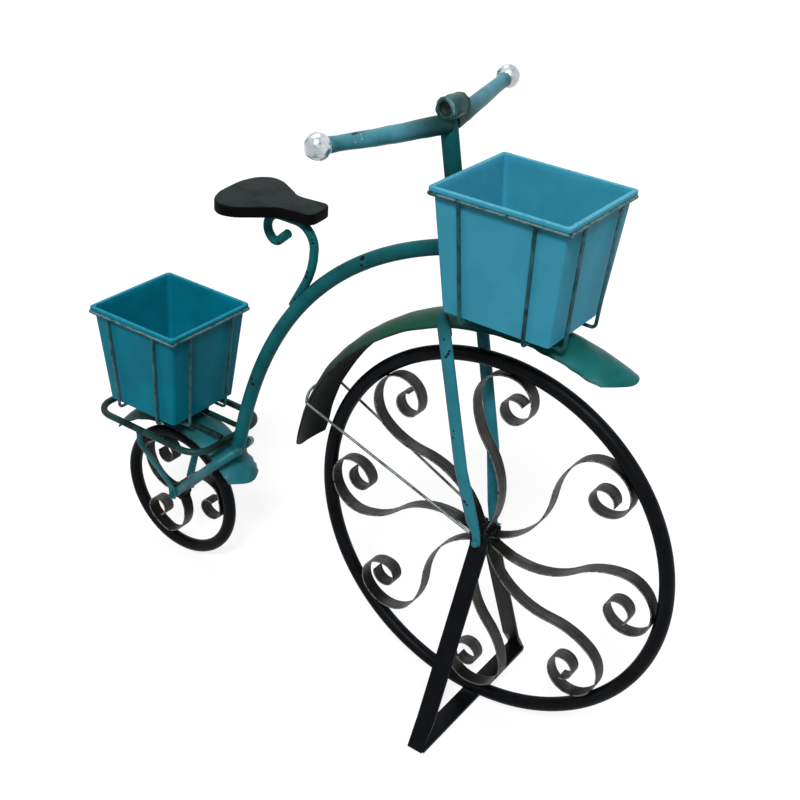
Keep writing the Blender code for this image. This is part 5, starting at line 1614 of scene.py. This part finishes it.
@dataclass(frozen=True)
class Studio:
    """A pale floor under two wide soft lamps, one over the camera and one from behind."""

    floor_size: float = 30.0
    floor_colour: Colour = (0.30, 0.30, 0.30)
    floor_lift: float = 0.76
    sky: float = 0.30
    lamps: tuple[tuple[tuple[float, float, float], float, float], ...] = (
        ((0.30, -0.62, 0.78), 16.0, 2.35),
        ((-0.45, 0.35, 0.90), 45.0, 0.95),
    )

    def set_up(self) -> None:
        """Make the floor, the lamps and the world."""
        scene = bpy.context.scene
        scene.view_settings.view_transform = "Standard"
        bm = bmesh.new()
        bmesh.ops.create_grid(bm, x_segments=1, y_segments=1, size=self.floor_size / 2)
        mesh = bpy.data.meshes.new("floor")
        bm.to_mesh(mesh)
        bm.free()
        floor = bpy.data.objects.new("floor", mesh)
        scene.collection.objects.link(floor)
        mesh.materials.append(self.floor_material())
        for index, (place, spread, power) in enumerate(self.lamps):
            light = bpy.data.lights.new(f"lamp_{index}", "SUN")
            light.energy = power
            light.angle = radians(spread)
            holder = bpy.data.objects.new(f"lamp_{index}", light)
            holder.location = Vector(place) * 3
            holder.rotation_euler = (-Vector(place)).to_track_quat("-Z", "Y").to_euler()
            scene.collection.objects.link(holder)
        world = bpy.data.worlds.new("studio")
        world.use_nodes = True
        scene.world = world
        tree = world.node_tree
        background = tree.nodes["Background"]
        background.inputs["Color"].default_value = (1.0, 1.0, 1.0, 1.0)
        level = tree.nodes.new("ShaderNodeMapRange")
        level.inputs["To Min"].default_value = self.sky
        level.inputs["To Max"].default_value = 1.0
        tree.links.new(self.seen(tree), level.inputs["Value"])
        tree.links.new(level.outputs["Result"], background.inputs["Strength"])

    def seen(self, tree: bpy.types.NodeTree) -> bpy.types.NodeSocket:
        """1 for what the camera sees straight, mirrored or through glass."""
        path = tree.nodes.new("ShaderNodeLightPath")
        total = path.outputs["Is Camera Ray"]
        for kind in ("Is Glossy Ray", "Is Transmission Ray"):
            larger = tree.nodes.new("ShaderNodeMath")
            larger.operation = "MAXIMUM"
            tree.links.new(total, larger.inputs[0])
            tree.links.new(path.outputs[kind], larger.inputs[1])
            total = larger.outputs["Value"]
        return total

    def floor_material(self) -> bpy.types.Material:
        """A matt floor, lifted so that it is seen as white paper and keeps a soft shadow."""
        material = bpy.data.materials.new("floor")
        material.use_nodes = True
        tree = material.node_tree
        shader = tree.nodes["Principled BSDF"]
        shader.inputs["Base Color"].default_value = (*self.floor_colour, 1.0)
        shader.inputs["Roughness"].default_value = 0.9
        shader.inputs["Specular IOR Level"].default_value = 0.0
        shader.inputs["Emission Color"].default_value = (1.0, 1.0, 1.0, 1.0)
        lift = tree.nodes.new("ShaderNodeMath")
        lift.operation = "MULTIPLY"
        lift.inputs[1].default_value = self.floor_lift
        tree.links.new(self.seen(tree), lift.inputs[0])
        tree.links.new(lift.outputs["Value"], shader.inputs["Emission Strength"])
        return material


def build_planter() -> None:
    """Dress every sub-assembly, from the wheels up."""
    front_turns = tuple(radians(a) for a in (-70, 36, 110, 138, 257))
    rear_turns = tuple(radians(a) for a in (100, 43, 21, 133, 168))
    Wheel("front", FRONT_AXLE, 0.250, tuple(radians(a) for a in (0, 45, 90, 137, 184.2, 228, 274.5, 319.5)),
          (0.050, 0.012), radians(29), (0.425, 0.400, 0.177, 0.124, 0.066), front_turns, 0.011,
          Body.FRONT_WHEEL, 64).dress()
    Wheel("rear", REAR_AXLE, 0.098, tuple(radians(a) for a in (41, 155, 272)), (0.105, -0.057), radians(-31),
          (0.496, 0.188, 0.806, 0.197, 0.142), rear_turns, 0.011, Body.REAR_WHEEL, 36).dress()
    # The front fender darkens from 79° back: painted shade under the front pot over its crown, and darker paint
    # further back.
    front_fender = Fender("front", FRONT_AXLE, 0.3015, 0.035, 0.014, 0.093, radians(130), radians(60),
                          radians(177), Finishes.FENDER, radians(79))
    front_fender.dress()
    # The rear fender darkens from 42° back as painted shade under the rear pot.
    Fender("rear", REAR_AXLE, 0.1425, 0.0335, 0.011, 0.125, radians(100), radians(28), radians(143),
           Finishes.STAYS, radians(42), radians(70), tip_width_share=0.66, along_steps=90).dress()
    Fork().dress()
    StemAndBars().dress()
    Backbone().dress()
    Seat().dress()
    Stand().dress()
    StayWire(front_fender).dress()
    AxleBolt("front", FRONT_AXLE, 0.0244, Finishes.FORK).dress()
    AxleBolt("rear", REAR_AXLE, 0.0221, Finishes.TEAL, head_height=0.0026).dress()
    front_pot = Pot("front", (0.176, 0.161), (0.1392, 0.1265), Body.FRONT_POT, Finishes.POT, low_shift=0.0040)
    rear_pot = Pot("rear", (0.161, 0.161), (0.1265, 0.1265), Body.REAR_POT, Finishes.REAR_POT, corner=0.006)
    for pot in (front_pot, rear_pot):
        pot.dress()
        Basket(pot, across_below=False).dress()
    Rack().dress()
    RearStays().dress()


def main() -> None:
    """Dress the plant stand, light it and set the camera."""
    build_planter()
    Studio().set_up()
    Viewpoint().set_up()


if __name__ == "__main__":
    logging.basicConfig(level=logging.INFO, format="%(message)s")
    main()
